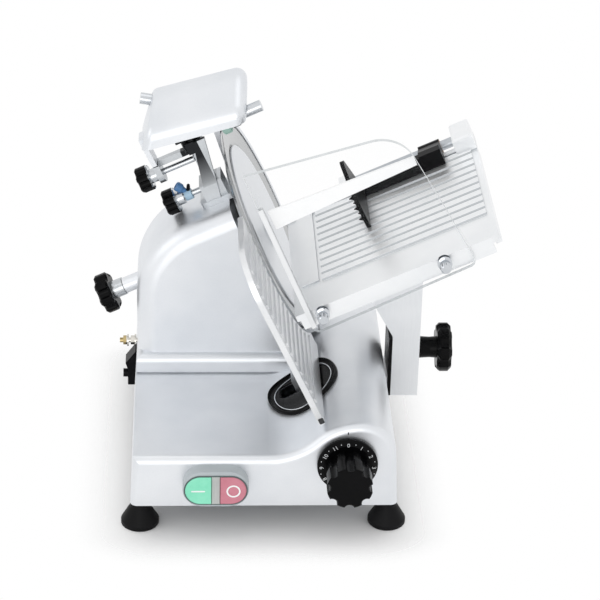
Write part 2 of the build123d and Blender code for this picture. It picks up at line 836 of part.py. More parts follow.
# Food table: ribbed plate with a front lip, rear wall, pillar and the lug for the rod
table_form = outline(
    (table_front, table_near),
    (table_back, table_near),
    (table_back, table_far - 8),
    arc((table_back - 8, table_far - 8), 8, 0, 90),
    arc((table_front + 8, table_far - 8), 8, 90, 180),
)
table = along_y(table_form, under, table_level)
table += block((table_front, table_front + 6), (under - 10, under), (table_near + 3, table_far - 8))
table += block((table_front + 8, table_back), (under - 6, under), (table_far - 6, table_far))
rib_form = Polygon((-5.5, 0), (5.5, 0), (4.3, table_rib), (-4.3, table_rib), align=None)
rib_count = 11
rib_step = 13.4
rib_start = table_near + 30
rib_end = table_far - 6
for i in range(rib_count):
    place = Pos(table_back - 10 - rib_step * i, table_level, 0)
    table += place * along_z(rib_form, rib_start, rib_end)
border = (table_back - 14 - rib_step * (rib_count - 1), table_back - 6)
table += block(border, (table_level, table_level + table_rib + 0.2), (rib_start - 20, rib_start - 3))
lip_top = table_level + lip_height
table += block((table_back - 4, table_back), (table_level, lip_top), (table_near, table_far - 20))
pillar = block((2, pusher_rod_x + 14), (under, 8), (table_far - 20, table_far))
pillar = chamfer(pillar.faces().sort_by(Axis.Y)[-1].edges(), 2)
table += pillar
lug = block((table_back - 2, pusher_rod_x + 8), (under, pusher_rod_y + 7), (78, 85))
table += lug
rod_place = (pusher_rod_x, pusher_rod_y)
table -= rod(pusher_rod_radius, (*rod_place, 79), (*rod_place, table_far - 5))
guard_screw_places = ((-15.0, 41.0), (-13.5, 163.0))
for y, z in guard_screw_places:
    table -= rod(2.5, (table_front - 1, y, z), (table_front + 7, y, z))
parts["food_table"] = tilted(table)
parts["pusher_rod"] = tilted(rod(pusher_rod_radius, (*rod_place, 79), (*rod_place, table_far - 5)))

# Clear hand guard screwed to the front lip of the table
guard_form = Polygon((-32, 27), (-27, 190), (40, 184), (122, 175), (142, 32), align=None)
corners = guard_form.vertices()
tall_corner = [v for v in corners if v.Y > 170 and v.X > 100]
guard_form = fillet(tall_corner, 34)
small_corners = [v for v in guard_form.vertices() if v.X < -20]
guard_form = fillet(small_corners, 6)
guard_back = table_front - guard_stand
hand_guard = along_x(guard_form, guard_back - guard_sheet, guard_back)
for y, z in guard_screw_places:
    hand_guard -= rod(2.5, (table_front - 9, y, z), (table_front + 1, y, z))
parts["hand_guard"] = tilted(hand_guard)
thumb = turned(
    [
        (0, -5),
        (2.5, -5),
        (2.5, 0),
        (6, 0),
        (6, guard_stand),
        (2.5, guard_stand),
        (2.5, guard_stand + guard_sheet),
        (6.8, guard_stand + guard_sheet),
        (6.8, 7.2),
        (4.6, 7.8),
        (4.6, 18),
        (3.6, 19),
        (0, 19),
    ]
)
screw_frames = [
    Plane(origin=(table_front, y, z), z_dir=(-1, 0, 0)) * thumb for y, z in guard_screw_places
]
parts["guard_screws"] = tilted(Compound(screw_frames))

# Stiffening bar bonded behind the guard, deeper at the blade end
bar_form = Polygon((99, 37), (94.5, 177), (86, 177), (80, 37), align=None)
bond_film = 0.3
parts["guard_bar"] = tilted(along_x(bar_form, guard_back + bond_film, guard_back + bond_film + 3))

# Pusher: bush on the rod, arm straddling the rear wall, toothed plate
bush_form = drum(pusher_bush_radius, pusher_near, pusher_far)
bush_form -= drum(pusher_rod_radius + running_fit, pusher_near - 1, pusher_far + 1)
parts["pusher_bush"] = tilted(Pos(*rod_place, 0) * bush_form)
leg_low = table_level + table_rib + 0.8
saddle_top = table_level + 19.5
saddle_form = outline(
    (-6, leg_low),
    (table_back - 4 - air_gap, leg_low),
    (table_back - 4 - air_gap, lip_top + air_gap),
    (pusher_rod_x - 3, lip_top + air_gap),
    (pusher_rod_x - 2, 3.5),
    (4, saddle_top),
    (-6, saddle_top),
)
saddle = along_z(saddle_form, pusher_near, pusher_far)
saddle += Pos(*rod_place, 0) * drum(pusher_bush_radius + 1.4, pusher_near, pusher_far)
arm_form = outline(
    (leg_low, pusher_near + 4),
    (leg_low, pusher_face),
    (leg_low + 9, pusher_face),
    (saddle_top - 1, pusher_near + 4),
)
saddle += along_x(arm_form, -6, 4)
saddle -= Pos(*rod_place, 0) * drum(pusher_bush_radius + running_fit, 0, table_far)
parts["pusher_arm"] = tilted(saddle)
plate_form = Polygon(
    (-73, leg_low),
    (-76, leg_low + 34),
    (-50, leg_low + 69),
    (-16, leg_low + 26),
    (4, leg_low + 13),
    (4, leg_low),
    align=None,
)
plate_form = fillet([v for v in plate_form.vertices() if v.X < -60 and v.Y > 0], 24)
plate_form = fillet([v for v in plate_form.vertices() if v.Y > leg_low + 60], 8)
pusher_plate = along_z(plate_form, pusher_face - 4, pusher_face)
tooth = extrude(Rectangle(4.4, 4.4), amount=5, dir=(0, 0, -1), taper=22)
for place in GridLocations(13, 12, 4, 3):
    pusher_plate += Pos(-44, leg_low + 19, pusher_face - 4) * place * tooth
parts["pusher_plate"] = tilted(pusher_plate)

# Sharpener bracket on the housing: foot, clamp block, leaning stay, top ring and hanging tab
eye = post_radius + 5
ring_low = head_low - 13
tab_z = post_z - 45
tab_high = head_low - 12.5
bracket = Pos(0, housing_top, post_z) * along_y(RectangleRounded(36, 36, 6), 0, 6)
bracket += block((-14, 12), (housing_top + 3, clamp_low + 9), (post_z - 12, post_z + 11))
bracket += rod(eye, (0, ring_low, post_z), (0, head_low - 1, post_z))
stay = outline(
    (housing_top + 3, post_z - 12),
    (head_low - 1, post_z + 3),
    (head_low - 1, post_z + 15),
    (housing_top + 3, post_z + 3),
)
bracket += along_x(stay, -17, -12)
bracket += block((-14, 0), (ring_low, head_low - 1), (post_z - 6, post_z + 11))
tab_form = outline(
    (-10, tab_high),
    arc((0, clamp_high), 10, 180, 360),
    (10, tab_high),
)
bracket += along_z(tab_form, tab_z, tab_z + 6)
bracket += block((2, 10), (tab_high - 6, tab_high), (tab_z + 3, post_z))
post_bore = rod(post_radius + running_fit, (0, housing_top + 6, post_z), (0, head_low, post_z))
bracket -= post_bore
for level in (clamp_low, clamp_high):
    bracket -= rod(3 + running_fit, (0, level, tab_z - 1), (0, level, post_z))
parts["sharpener_bracket"] = tilted(bracket)
parts["sharpener_post"] = tilted(rod(post_radius, (0, housing_top + 7, post_z), (0, head_low + 26, post_z)))
clamp_gap = post_z - post_radius - slip_gap
low_knob = Pos(0, clamp_low, post_z - 52) * lobed(13, 6, 3, 13, 1.2)
low_knob += rod(7, (0, clamp_low, post_z - 40), (0, clamp_low, post_z - 32))
low_knob += rod(3, (0, clamp_low, post_z - 45), (0, clamp_low, clamp_gap))
parts["post_clamp_knob"] = tilted(low_knob)
high_knob = Pos(0, clamp_high, tab_z - 20) * lobed(13, 6, 3, 13, 1.2)
high_knob += rod(7, (0, clamp_high, tab_z - 8), (0, clamp_high, tab_z - slip_gap))
high_knob += rod(3, (0, clamp_high, tab_z - 12), (0, clamp_high, clamp_gap))
parts["head_clamp_knob"] = tilted(high_knob)

# Sharpener cover: cast hood with a sloping brow, open below, its tongue reaching down to the tab


def between(start, end, part):
    """Point on the line through two points, beyond them below 0 or above 1."""
    return tuple(a + (b - a) * part for a, b in zip(start, end))


def hood(inset):
    """Solid form of the hood, drawn inwards by the inset; the inner form runs on below."""
    low_left, low_right, top_right, top_left = head_ends
    foot = -0.1 * inset
    left = [between(low_left, top_left, part) for part in (foot, 1.4)]
    right = [between(low_right, top_right, part) for part in (foot, 1.4)]
    ends = Polygon(
        (left[0][0], left[0][1] + 1.25 * inset),
        (right[0][0], right[0][1] - 1.15 * inset),
        (right[1][0], right[1][1] - 1.15 * inset),
        (left[1][0], left[1][1] + 1.25 * inset),
        align=None,
    )
    front = head_front + inset
    back = head_back - inset
    side = Polygon(
        (front, -90), (back, -90), (back, -inset), (6, -inset), (front, -head_fall - inset), align=None
    )
    side = fillet([v for v in side.vertices() if v.Y > -1 - inset and v.X > 10], 15 - inset)
    side = fillet([v for v in side.vertices() if abs(v.X - 6) < 0.1], 30)
    side = fillet([v for v in side.vertices() if abs(v.X - front) < 0.1 and v.Y > -80], 15 - inset)
    start = between(top_left, top_right, -0.7)
    run = Vector(0, top_right[0] - top_left[0], top_right[1] - top_left[1])
    body = Pos(0, *start) * extrude(side, amount=run.length * 2.4, dir=run)
    body = body & along_x(ends, head_front - 5, head_back + 5)
    for end, radius in ((0, 7 - inset), (-1, 10 - inset)):
        wall_face = body.faces().sort_by(Axis.Z)[end]
        sill = wall_face.bounding_box().min.Y + 1
        body = fillet([e for e in wall_face.edges() if e.center().Y > sill], radius)
    return body


hood_room = hood(head_wall)
head_cover = hood(0) - hood_room
tongue_high = between(head_ends[0], head_ends[3], 0.1)[0]
head_cover += block((-10, 10), (tab_high + air_gap, tongue_high), (tab_z, tab_z + 5))

# Pin axes: the deburring pin square to the blade, the grinding pin leaning down to its back
deburr_line = Plane(origin=(-12, head_low + 5.5, 0), x_dir=(1, 0, 0), z_dir=(0, 0, 1))
pin_way = (0, -sin(radians(pin_lean)), cos(radians(pin_lean)))
grind_line = Plane(origin=(22, head_low + 39, -48), x_dir=(1, 0, 0), z_dir=pin_way)
deburr_stone = (5, 13)
grind_stone = (36, 44)
deburr_radius = 13.0
grind_radius = 10.0
head_cover -= deburr_line * drum(cap_radius + 0.6, 20, 60)
head_cover -= grind_line * drum(cap_radius + 0.6, -20, 14)
parts["sharpener_cover"] = tilted(head_cover)

# Carrier under the cover: ceiling web, block round the post and a bearing leg for each pin
ceiling = hood_room - Pos(0, -6, 0) * hood_room
ceiling = ceiling & block((-14, 30), (head_low + 10, far), (-58, 40))
carrier = ceiling + block((-11, 11), (head_low + 1, far), (post_z - 14, post_z + 14))
carrier += block((-20, -4), (head_low - 2, far), (16, 23.5))
carrier += block((14, 30), (head_low + 20, far), (-38, -28))
carrier = carrier & hood_room
carrier -= deburr_line * drum(pin_radius + running_fit, 0, 60)
carrier -= grind_line * drum(pin_radius + running_fit, -20, 60)
carrier -= rod(post_radius + running_fit, (0, 0, post_z), (0, head_low + 27, post_z))
carrier -= deburr_line * drum(deburr_radius + 1.2, deburr_stone[0] - pin_travel - 1, deburr_stone[1] + 2)
carrier -= grind_line * drum(grind_radius + 1.2, grind_stone[0] - 2, grind_stone[1] + 2 * pin_travel)
carrier -= grind_line * drum(cap_radius + 0.6, -20, 8 + pin_travel + 1)
parts["sharpener_carrier"] = tilted(carrier)

# Push pins with plain caps, and the stones that turn on them
deburr_pin = drum(pin_radius, 3.5, 30) + drum(cap_radius, 28, 48)
parts["deburr_pin"] = tilted(deburr_line * deburr_pin)
grind_pin = drum(pin_radius, 6, 46) + drum(cap_radius, -15, 8)
parts["grind_pin"] = tilted(grind_line * grind_pin)
for name, radius, limits, line in (
    ("deburr_stone", deburr_radius, deburr_stone, deburr_line),
    ("grind_stone", grind_radius, grind_stone, grind_line),
):
    stone = chamfer(drum(radius, *limits).edges(), 1)
    parts[name] = tilted(line * (stone - drum(pin_radius + running_fit, *limits)))

# Place the whole machine over the origin and write one file per piece
whole = Compound([piece for piece in parts.values()]).bounding_box()
centring = Pos(-whole.center().X, -whole.center().Y, -whole.min.Z)
os.makedirs("parts", exist_ok=True)
for name, piece in parts.items():
    export_step(centring * piece, f"parts/{name}.step")
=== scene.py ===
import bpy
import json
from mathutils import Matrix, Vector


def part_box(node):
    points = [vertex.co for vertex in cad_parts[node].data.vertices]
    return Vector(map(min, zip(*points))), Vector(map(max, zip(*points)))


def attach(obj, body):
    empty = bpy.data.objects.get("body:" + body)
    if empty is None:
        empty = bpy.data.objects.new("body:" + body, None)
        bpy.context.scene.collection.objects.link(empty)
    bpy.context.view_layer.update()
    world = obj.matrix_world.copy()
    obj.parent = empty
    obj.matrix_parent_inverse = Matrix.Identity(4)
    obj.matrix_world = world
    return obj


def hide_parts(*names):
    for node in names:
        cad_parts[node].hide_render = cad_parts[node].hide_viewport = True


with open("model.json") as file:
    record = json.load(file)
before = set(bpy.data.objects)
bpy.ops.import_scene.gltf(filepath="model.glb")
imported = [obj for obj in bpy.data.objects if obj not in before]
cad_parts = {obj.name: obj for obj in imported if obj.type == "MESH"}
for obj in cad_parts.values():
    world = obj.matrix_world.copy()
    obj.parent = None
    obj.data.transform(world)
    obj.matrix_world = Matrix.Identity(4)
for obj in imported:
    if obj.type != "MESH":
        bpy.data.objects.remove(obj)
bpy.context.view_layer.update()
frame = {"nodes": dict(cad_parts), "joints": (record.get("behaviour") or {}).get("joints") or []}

import json
import math

import bmesh
import bpy
from mathutils import Matrix, Vector
from mathutils.bvhtree import BVHTree

# Base casting: deck, rail ridge and motor housing in one piece.
# Aluminium, cast in sand, ground smooth, blasted with glass beads and clear anodised.
nodes = frame["nodes"]
mm = 0.001


def linear(code):
    """Linear colour of an sRGB hex value."""
    parts = [int(code[i:i + 2], 16) / 255 for i in (1, 3, 5)]
    return [p / 12.92 if p <= 0.04045 else ((p + 0.055) / 1.055) ** 2.4 for p in parts] + [1.0]


def add(tree, kind, settings=None, links=None):
    """Adds a node to a tree, sets its values and links its inputs."""
    node = tree.nodes.new(kind)
    for key, value in (settings or {}).items():
        if isinstance(key, int) or key in node.inputs:
            node.inputs[key].default_value = value
        else:
            setattr(node, key, value)
    for key, source in (links or {}).items():
        tree.links.new(source, node.inputs[key])
    return node


def finish_named(name, settings):
    """New material with one shader, its fixed values set; returns material, tree and shader."""
    finish = bpy.data.materials.new(name)
    finish.use_nodes = True
    tree = finish.node_tree
    tree.nodes.clear()
    shader = add(tree, "ShaderNodeBsdfPrincipled", settings)
    add(tree, "ShaderNodeOutputMaterial", None, {"Surface": shader.outputs[0]})
    return finish, tree, shader


def cover(finish, *names):
    """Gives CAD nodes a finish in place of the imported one."""
    for name in names:
        mesh = nodes[name].data
        mesh.materials.clear()
        mesh.materials.append(finish)


cloud_size = 40.0
noise_low, noise_high = 0.3, 0.7
shade_low, shade_high = 0.45, 1.05


def grain(tree, shader, size, depth, tints, gloss, lie=None):
    """Grain of a size and depth in millimetres, drifting between two tints.

    gloss is the roughness in its hollows and on its tops; lie turns the grain and draws it out.
    """
    place = add(tree, "ShaderNodeTexCoord")
    along = add(tree, "ShaderNodeMapping", {"vector_type": "TEXTURE", **(lie or {})},
                {"Vector": place.outputs["Object"]})
    speck = add(tree, "ShaderNodeTexNoise", {"Scale": 1 / (size * mm), "Detail": 3.0},
                {"Vector": along.outputs[0]})
    cloud = add(tree, "ShaderNodeTexNoise", {"Scale": 1 / (cloud_size * mm), "Detail": 2.0},
                {"Vector": place.outputs["Object"]})
    shade = add(tree, "ShaderNodeMath", {"operation": "MULTIPLY_ADD", 1: 0.5},
                {0: speck.outputs["Fac"], 2: cloud.outputs["Fac"]})
    part = add(tree, "ShaderNodeMapRange", {1: shade_low, 2: shade_high}, {0: shade.outputs[0]})
    tint = add(tree, "ShaderNodeMix", {"data_type": "RGBA", 6: linear(tints[0]), 7: linear(tints[1])},
               {0: part.outputs[0]})
    dull = add(tree, "ShaderNodeMapRange", {1: noise_low, 2: noise_high, 3: gloss[0], 4: gloss[1]},
               {0: speck.outputs["Fac"]})
    bump = add(tree, "ShaderNodeBump", {"Strength": 0.5, "Distance": depth * mm},
               {"Height": speck.outputs["Fac"]})
    tree.links.new(tint.outputs[2], shader.inputs["Base Color"])
    tree.links.new(dull.outputs[0], shader.inputs["Roughness"])
    tree.links.new(bump.outputs[0], shader.inputs["Normal"])


# Blasted anodised aluminium: silvery and evenly soft, edges drawn by broad highlights.
# The beads leave dents of 0.2 mm; they are drawn at 1.2 mm so that they show.
cast_sheen = 0.85
blasted_aluminium, tree, shader = finish_named("blasted_anodised_aluminium", {"Metallic": cast_sheen})
grain(tree, shader, 1.2, 0.02, ("#DCDFE3", "#E6E8EB"), (0.36, 0.46))
# Inside, the casting is left raw: dull dark grey from the sand. A box below the deck marks it.
cast_base = blasted_aluminium.copy()
cast_base.name = "blasted_base_with_raw_inside"
tree = cast_base.node_tree
shader = next(node for node in tree.nodes if node.type == "BSDF_PRINCIPLED")
raw_low, raw_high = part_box("bottom_cover")
raw_spread = Vector((0.6 * mm, 0.6 * mm, 0.0))
raw_top = 76.5 * mm
raw_low = raw_low - raw_spread
raw_high = Vector((raw_high.x, raw_high.y, raw_top)) + raw_spread
place = add(tree, "ShaderNodeTexCoord")
away = add(tree, "ShaderNodeVectorMath", {"operation": "SUBTRACT", 1: (raw_low + raw_high) / 2},
           {0: place.outputs["Object"]})
away = add(tree, "ShaderNodeVectorMath", {"operation": "ABSOLUTE"}, {0: away.outputs[0]})
away = add(tree, "ShaderNodeVectorMath", {"operation": "SUBTRACT", 1: (raw_high - raw_low) / 2},
           {0: away.outputs[0]})
apart = add(tree, "ShaderNodeSeparateXYZ", None, {0: away.outputs[0]})
most = add(tree, "ShaderNodeMath", {"operation": "MAXIMUM"},
           {0: apart.outputs["X"], 1: apart.outputs["Y"]})
most = add(tree, "ShaderNodeMath", {"operation": "MAXIMUM"},
           {0: most.outputs[0], 1: apart.outputs["Z"]})
outside = add(tree, "ShaderNodeMath", {"operation": "GREATER_THAN", 1: 0.0}, {0: most.outputs[0]})
fine = shader.inputs["Base Color"].links[0].from_socket
tint = add(tree, "ShaderNodeMix", {"data_type": "RGBA", 6: linear("#4A4C4E")},
           {0: outside.outputs[0], 7: fine})
sheen = add(tree, "ShaderNodeMath", {"operation": "MULTIPLY", 1: cast_sheen}, {0: outside.outputs[0]})
tree.links.new(tint.outputs[2], shader.inputs["Base Color"])
tree.links.new(sheen.outputs[0], shader.inputs["Metallic"])
cover(cast_base, "base_casting")

# Bottom cover: steel sheet under the base, zinc plated, held by pan-head screws.
# The vents are punched; the screws stand in two rows along the long sides.
zinc_plate, tree, shader = finish_named("zinc_plated_steel", {"Metallic": 1.0})
# Zinc plating: cool grey with a faint blue drift, half dull. Its crystals are drawn at 3 mm.
grain(tree, shader, 3.0, 0.01, ("#A9AEB4", "#C2C6CA"), (0.28, 0.42))
cover(zinc_plate, "bottom_cover")


def lathe(profile, sides):
    """Closed form of a profile of radius and height in millimetres, turned about its own Z."""
    form = bmesh.new()
    circles = []
    for radius, height in profile:
        count = sides if radius else 1
        steps = [2 * math.pi * k / count for k in range(count)]
        circles.append([
            form.verts.new((radius * mm * math.cos(step), radius * mm * math.sin(step), height * mm))
            for step in steps
        ])
    for low, high in zip(circles, circles[1:]):
        for k in range(sides):
            corners = [low[k % len(low)], low[(k + 1) % len(low)],
                       high[(k + 1) % len(high)], high[k % len(high)]]
            corners = list(dict.fromkeys(corners))
            if len(corners) > 2:
                form.faces.new(corners)
    bmesh.ops.remove_doubles(form, verts=form.verts, dist=0.001 * mm)
    bmesh.ops.recalc_face_normals(form, faces=form.faces)
    return form


def meshed(name, form, smooth=False):
    """Turns a form into a mesh, with rounded shading where asked."""
    mesh = bpy.data.meshes.new(name)
    form.to_mesh(mesh)
    form.free()
    for face in mesh.polygons:
        face.use_smooth = smooth
    return mesh


def put(name, mesh, finish, body):
    """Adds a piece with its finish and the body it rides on."""
    if not mesh.materials:
        mesh.materials.append(finish)
    thing = bpy.data.objects.new(name, mesh)
    bpy.context.collection.objects.link(thing)
    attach(thing, body)
    return thing


def new_tree(name, inputs):
    """Empty geometry tree with named inputs; returns the tree, its input node and its output node."""
    tree = bpy.data.node_groups.new(name, "GeometryNodeTree")
    tree.interface.new_socket("Geometry", in_out="INPUT", socket_type="NodeSocketGeometry")
    for label, kind in inputs:
        tree.interface.new_socket(label, in_out="INPUT", socket_type=kind)
    tree.interface.new_socket("Geometry", in_out="OUTPUT", socket_type="NodeSocketGeometry")
    return tree, add(tree, "NodeGroupInput"), add(tree, "NodeGroupOutput")


def repeated(mesh, tree, values):
    """Runs a geometry tree on one mesh and returns the result as a plain mesh."""
    thing = bpy.data.objects.new(mesh.name, mesh)
    bpy.context.collection.objects.link(thing)
    work = thing.modifiers.new("repeat", "NODES")
    work.node_group = tree
    for socket in tree.interface.items_tree:
        if socket.in_out == "INPUT" and socket.name in values:
            work[socket.identifier] = values[socket.name]
    shape = bpy.data.meshes.new_from_object(thing.evaluated_get(bpy.context.evaluated_depsgraph_get()))
    thing.modifiers.remove(work)
    bpy.data.objects.remove(thing)
    return shape


rows_tree, given, result = new_tree("rows_of_screws", (
    ("Row Distance", "NodeSocketFloat"), ("Row Length", "NodeSocketFloat"), ("Count", "NodeSocketInt"),
    ("Finish", "NodeSocketMaterial")))
spots = add(rows_tree, "GeometryNodeMeshGrid", {"Vertices X": 2}, {
    "Size X": given.outputs["Row Distance"], "Size Y": given.outputs["Row Length"],
    "Vertices Y": given.outputs["Count"]})
copies = add(rows_tree, "GeometryNodeInstanceOnPoints", None,
             {"Points": spots.outputs[0], "Instance": given.outputs["Geometry"]})
solid = add(rows_tree, "GeometryNodeRealizeInstances", None, {0: copies.outputs[0]})
dressed = add(rows_tree, "GeometryNodeSetMaterial", None,
              {"Geometry": solid.outputs[0], "Material": given.outputs["Finish"]})
rows_tree.links.new(dressed.outputs[0], result.inputs[0])
screw_count = 4
screw_inset = 6.0 * mm
row_share = 0.7
head_profile = [(0, -0.9), (1.1, -0.9), (1.4, -2.1), (2.4, -1.9), (3.4, -1.1), (3.6, 0), (0, 0)]
sheet_low, sheet_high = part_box("bottom_cover")
sheet_size = sheet_high - sheet_low
sheet_middle = (sheet_low + sheet_high) / 2
screws = repeated(meshed("pan_head", lathe(head_profile, 12)), rows_tree, {
    "Row Distance": sheet_size.x - 2 * screw_inset, "Row Length": sheet_size.y * row_share,
    "Count": screw_count, "Finish": zinc_plate})
screws.transform(Matrix.Translation((sheet_middle.x, sheet_middle.y, sheet_low.z)))
put("bottom_screws", screws, zinc_plate, "machine")

# Feet: four moulded rubber cones, each held by a screw from inside the base.
# Black nitrile rubber, matt, greyer where the mould was worn.
black_rubber, tree, shader = finish_named("moulded_nitrile_rubber", {"Specular IOR Level": 0.12})
# Nitrile rubber: soft black without a shine; the mould's fine sanding is drawn at 0.9 mm.
grain(tree, shader, 0.9, 0.03, ("#0A0A0B", "#141416"), (0.42, 0.58))
cover(black_rubber, "feet")

# Drive: motor, belt and pulleys inside the housing, and the hollow blade shaft in its bearings.
# Turned aluminium and bearing steel, a rubber belt and a motor in grey stoving enamel.
spin = next(joint for joint in frame["joints"] if joint["name"] == "blade_spin")
blade_middle = Vector(spin["pos_m"])
across = Vector(spin["axis"])
rear = Vector((0.0, 1.0, 0.0))
uphill = across.cross(rear)
blade_axes = Matrix((rear, uphill, across)).transposed()
on_slope = {"Location": blade_middle, "Rotation": blade_axes.to_euler()}


def at(x, y, z):
    """Point of the blade's own frame, in millimetres: back, up the slope, towards the food."""
    return blade_middle + (rear * x + uphill * y + across * z) * mm


def slope_place(tree):
    """Place on a piece, in the blade's own frame."""
    place = add(tree, "ShaderNodeTexCoord")
    local = add(tree, "ShaderNodeMapping", {"vector_type": "TEXTURE", **on_slope},
                {"Vector": place.outputs["Object"]})
    return local.outputs[0]


def rings(tree, shader, pitch, depth, tints, gloss):
    """Fine circles round the blade axis, as a lathe or grinding wheel leaves them; pitch in millimetres."""
    flat = add(tree, "ShaderNodeVectorMath", {"operation": "MULTIPLY", 1: (1, 1, 0)},
               {0: slope_place(tree)})
    reach = add(tree, "ShaderNodeVectorMath", {"operation": "LENGTH"}, {0: flat.outputs[0]})
    line = add(tree, "ShaderNodeTexNoise",
               {"noise_dimensions": "1D", "Scale": 1 / (pitch * mm), "Detail": 4.0},
               {"W": reach.outputs["Value"]})
    tint = add(tree, "ShaderNodeMix", {"data_type": "RGBA", 6: linear(tints[0]), 7: linear(tints[1])},
               {0: line.outputs["Fac"]})
    dull = add(tree, "ShaderNodeMapRange", {1: noise_low, 2: noise_high, 3: gloss[0], 4: gloss[1]},
               {0: line.outputs["Fac"]})
    bump = add(tree, "ShaderNodeBump", {"Strength": 0.4, "Distance": depth * mm},
               {"Height": line.outputs["Fac"]})
    tree.links.new(tint.outputs[2], shader.inputs["Base Color"])
    tree.links.new(dull.outputs[0], shader.inputs["Roughness"])
    tree.links.new(bump.outputs[0], shader.inputs["Normal"])


turned_aluminium, tree, shader = finish_named("turned_aluminium", {"Metallic": 1.0})
# Turned aluminium: bright circles from the tool, near 0.3 mm apart, drawn at 0.8 mm.
rings(tree, shader, 0.8, 0.01, ("#B4B8BC", "#CBCED1"), (0.24, 0.36))
cover(turned_aluminium, "blade_pulley", "motor_pulley", "bearing_housing")
bearing_steel, tree, shader = finish_named("ground_bearing_steel", {"Metallic": 1.0})
# Ground bearing steel: mirror-like with hair-fine circles, drawn at 0.5 mm.
rings(tree, shader, 0.5, 0.003, ("#B9BCC0", "#C7CACD"), (0.1, 0.2))
cover(bearing_steel, "blade_bearings", "blade_shaft", "motor_rotor", "blade_screws")
motor_enamel, tree, shader = finish_named("grey_stoving_enamel", {"IOR": 1.5})
# Stoving enamel: dark grey with a fine orange peel of 2 mm.
grain(tree, shader, 2.0, 0.03, ("#2D3034", "#3A3D42"), (0.35, 0.48))
cover(motor_enamel, "motor")
belt_rubber, tree, shader = finish_named("neoprene_belt", {"Specular IOR Level": 0.3})
# Neoprene belt: dead black with a fabric weave, drawn at 1 mm.
grain(tree, shader, 1.0, 0.06, ("#101011", "#1A1A1B"), (0.6, 0.8))
cover(belt_rubber, "drive_belt")

# Switch: grey bezel with a green start half, a red stop half and a lamp window between them.
# Moulded polycarbonate; the line and the ring are hot-foil marks on the two halves.
bezel_plastic, tree, shader = finish_named("grey_moulded_polycarbonate", {"IOR": 1.58})
# Moulded grey plastic: smooth with a satin mould finish, drawn at 0.8 mm.
grain(tree, shader, 0.8, 0.01, ("#A4ABAF", "#B4BBBE"), (0.3, 0.42))
cover(bezel_plastic, "switch_bezel")
start_plastic, tree, shader = finish_named("green_polycarbonate", {"IOR": 1.58})
# Tinted clear plastic over a white core: a cool light green that seems to glow.
grain(tree, shader, 4.0, 0.004, ("#7AD8B5", "#93E4C6"), (0.16, 0.24))
cover(start_plastic, "start_button")
stop_plastic, tree, shader = finish_named("red_polycarbonate", {"IOR": 1.58})
# The same plastic in a dusty red.
grain(tree, shader, 4.0, 0.004, ("#BF7180", "#CC8391"), (0.16, 0.24))
cover(stop_plastic, "stop_button")
lamp_plastic, tree, shader = finish_named("frosted_lamp_window", {"IOR": 1.58})
# Frosted window with the lamp off: pale grey, streaked by the moulded prisms, 1.5 mm apart.
grain(tree, shader, 1.5, 0.02, ("#A9ACAA", "#C4C7C4"), (0.3, 0.45), {"Scale": (1, 1, 12)})
cover(lamp_plastic, "lamp_lens")
gasket_rubber, tree, shader = finish_named("grey_silicone_gasket", {"IOR": 1.41})
# Silicone seal round the two halves: dark grey green, dull.
grain(tree, shader, 1.0, 0.01, ("#4E5B5B", "#5F6C6B"), (0.45, 0.6))
white_foil, tree, shader = finish_named("white_hot_foil", {"IOR": 1.5})
# Hot foil: flat white, a little broken where the die pressed less.
grain(tree, shader, 1.5, 0.01, ("#E8EAE9", "#F2F3F2"), (0.35, 0.5))


def stretched(form, half):
    """Draws a turned form out along X by half a straight run, in millimetres, to each side."""
    for vert in form.verts:
        if abs(vert.co.x) > 1e-7:
            vert.co.x += math.copysign(half * mm, vert.co.x)
    return form


face_front = Matrix.Rotation(math.pi / 2, 4, "X")


def on_front(name):
    """Matrix that turns a form's own Z to the front and puts it on the front of a CAD node's box."""
    low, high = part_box(name)
    middle = (low + high) / 2
    return Matrix.Translation((middle.x, low.y, middle.z)) @ face_front


half_straight = 14.0
seal_profile = [(14.8, -0.2), (15.9, -0.2), (15.9, 0.6), (15.4, 0.9), (14.8, 0.7), (14.8, -0.2)]
gasket = meshed("switch_gasket", stretched(lathe(seal_profile, 64), half_straight), True)
gasket.transform(on_front("switch_bezel"))
put("switch_gasket", gasket, gasket_rubber, "machine")
mark_low, mark_high = -0.2, 0.25
line_length, line_width = 13.0, 1.5
line_profile = [(0, mark_low), (line_width / 2, mark_low), (line_width / 2, mark_high), (0, mark_high)]
line_mark = meshed("start_mark", stretched(lathe(line_profile, 16), (line_length - line_width) / 2))
line_mark.transform(on_front("start_button"))
put("start_mark", line_mark, white_foil, "start")
ring_outer, ring_inner = 6.6, 5.1
ring_profile = [(ring_inner, mark_low), (ring_outer, mark_low), (ring_outer, mark_high),
                (ring_inner, mark_high), (ring_inner, mark_low)]
ring_mark = meshed("stop_mark", lathe(ring_profile, 48))
ring_mark.transform(on_front("stop_button"))
put("stop_mark", ring_mark, white_foil, "stop")

# Cable gland and earth stud on the left wall: a nylon gland bushing and a brass stud
# with two nickel-plated nuts, both screwed in from outside.
black_nylon, tree, shader = finish_named("moulded_black_nylon", {"IOR": 1.53, "Specular IOR Level": 0.08})
# Moulded nylon: deep black, half gloss, with the mould's etched grain drawn at 0.8 mm.
grain(tree, shader, 0.8, 0.02, ("#08080A", "#101012"), (0.24, 0.36))
cover(black_nylon, "cable_gland")


def paint_over(tree, shader, mask, code):
    """Lays one plain colour over a finish where a mask is 1."""
    below = shader.inputs["Base Color"].links[0].from_socket
    tint = add(tree, "ShaderNodeMix", {"data_type": "RGBA", 7: linear(code)},
               {0: mask.outputs[0], 6: below})
    tree.links.new(tint.outputs[2], shader.inputs["Base Color"])


plated_brass, tree, shader = finish_named("brass_and_nickel", {"Metallic": 1.0})
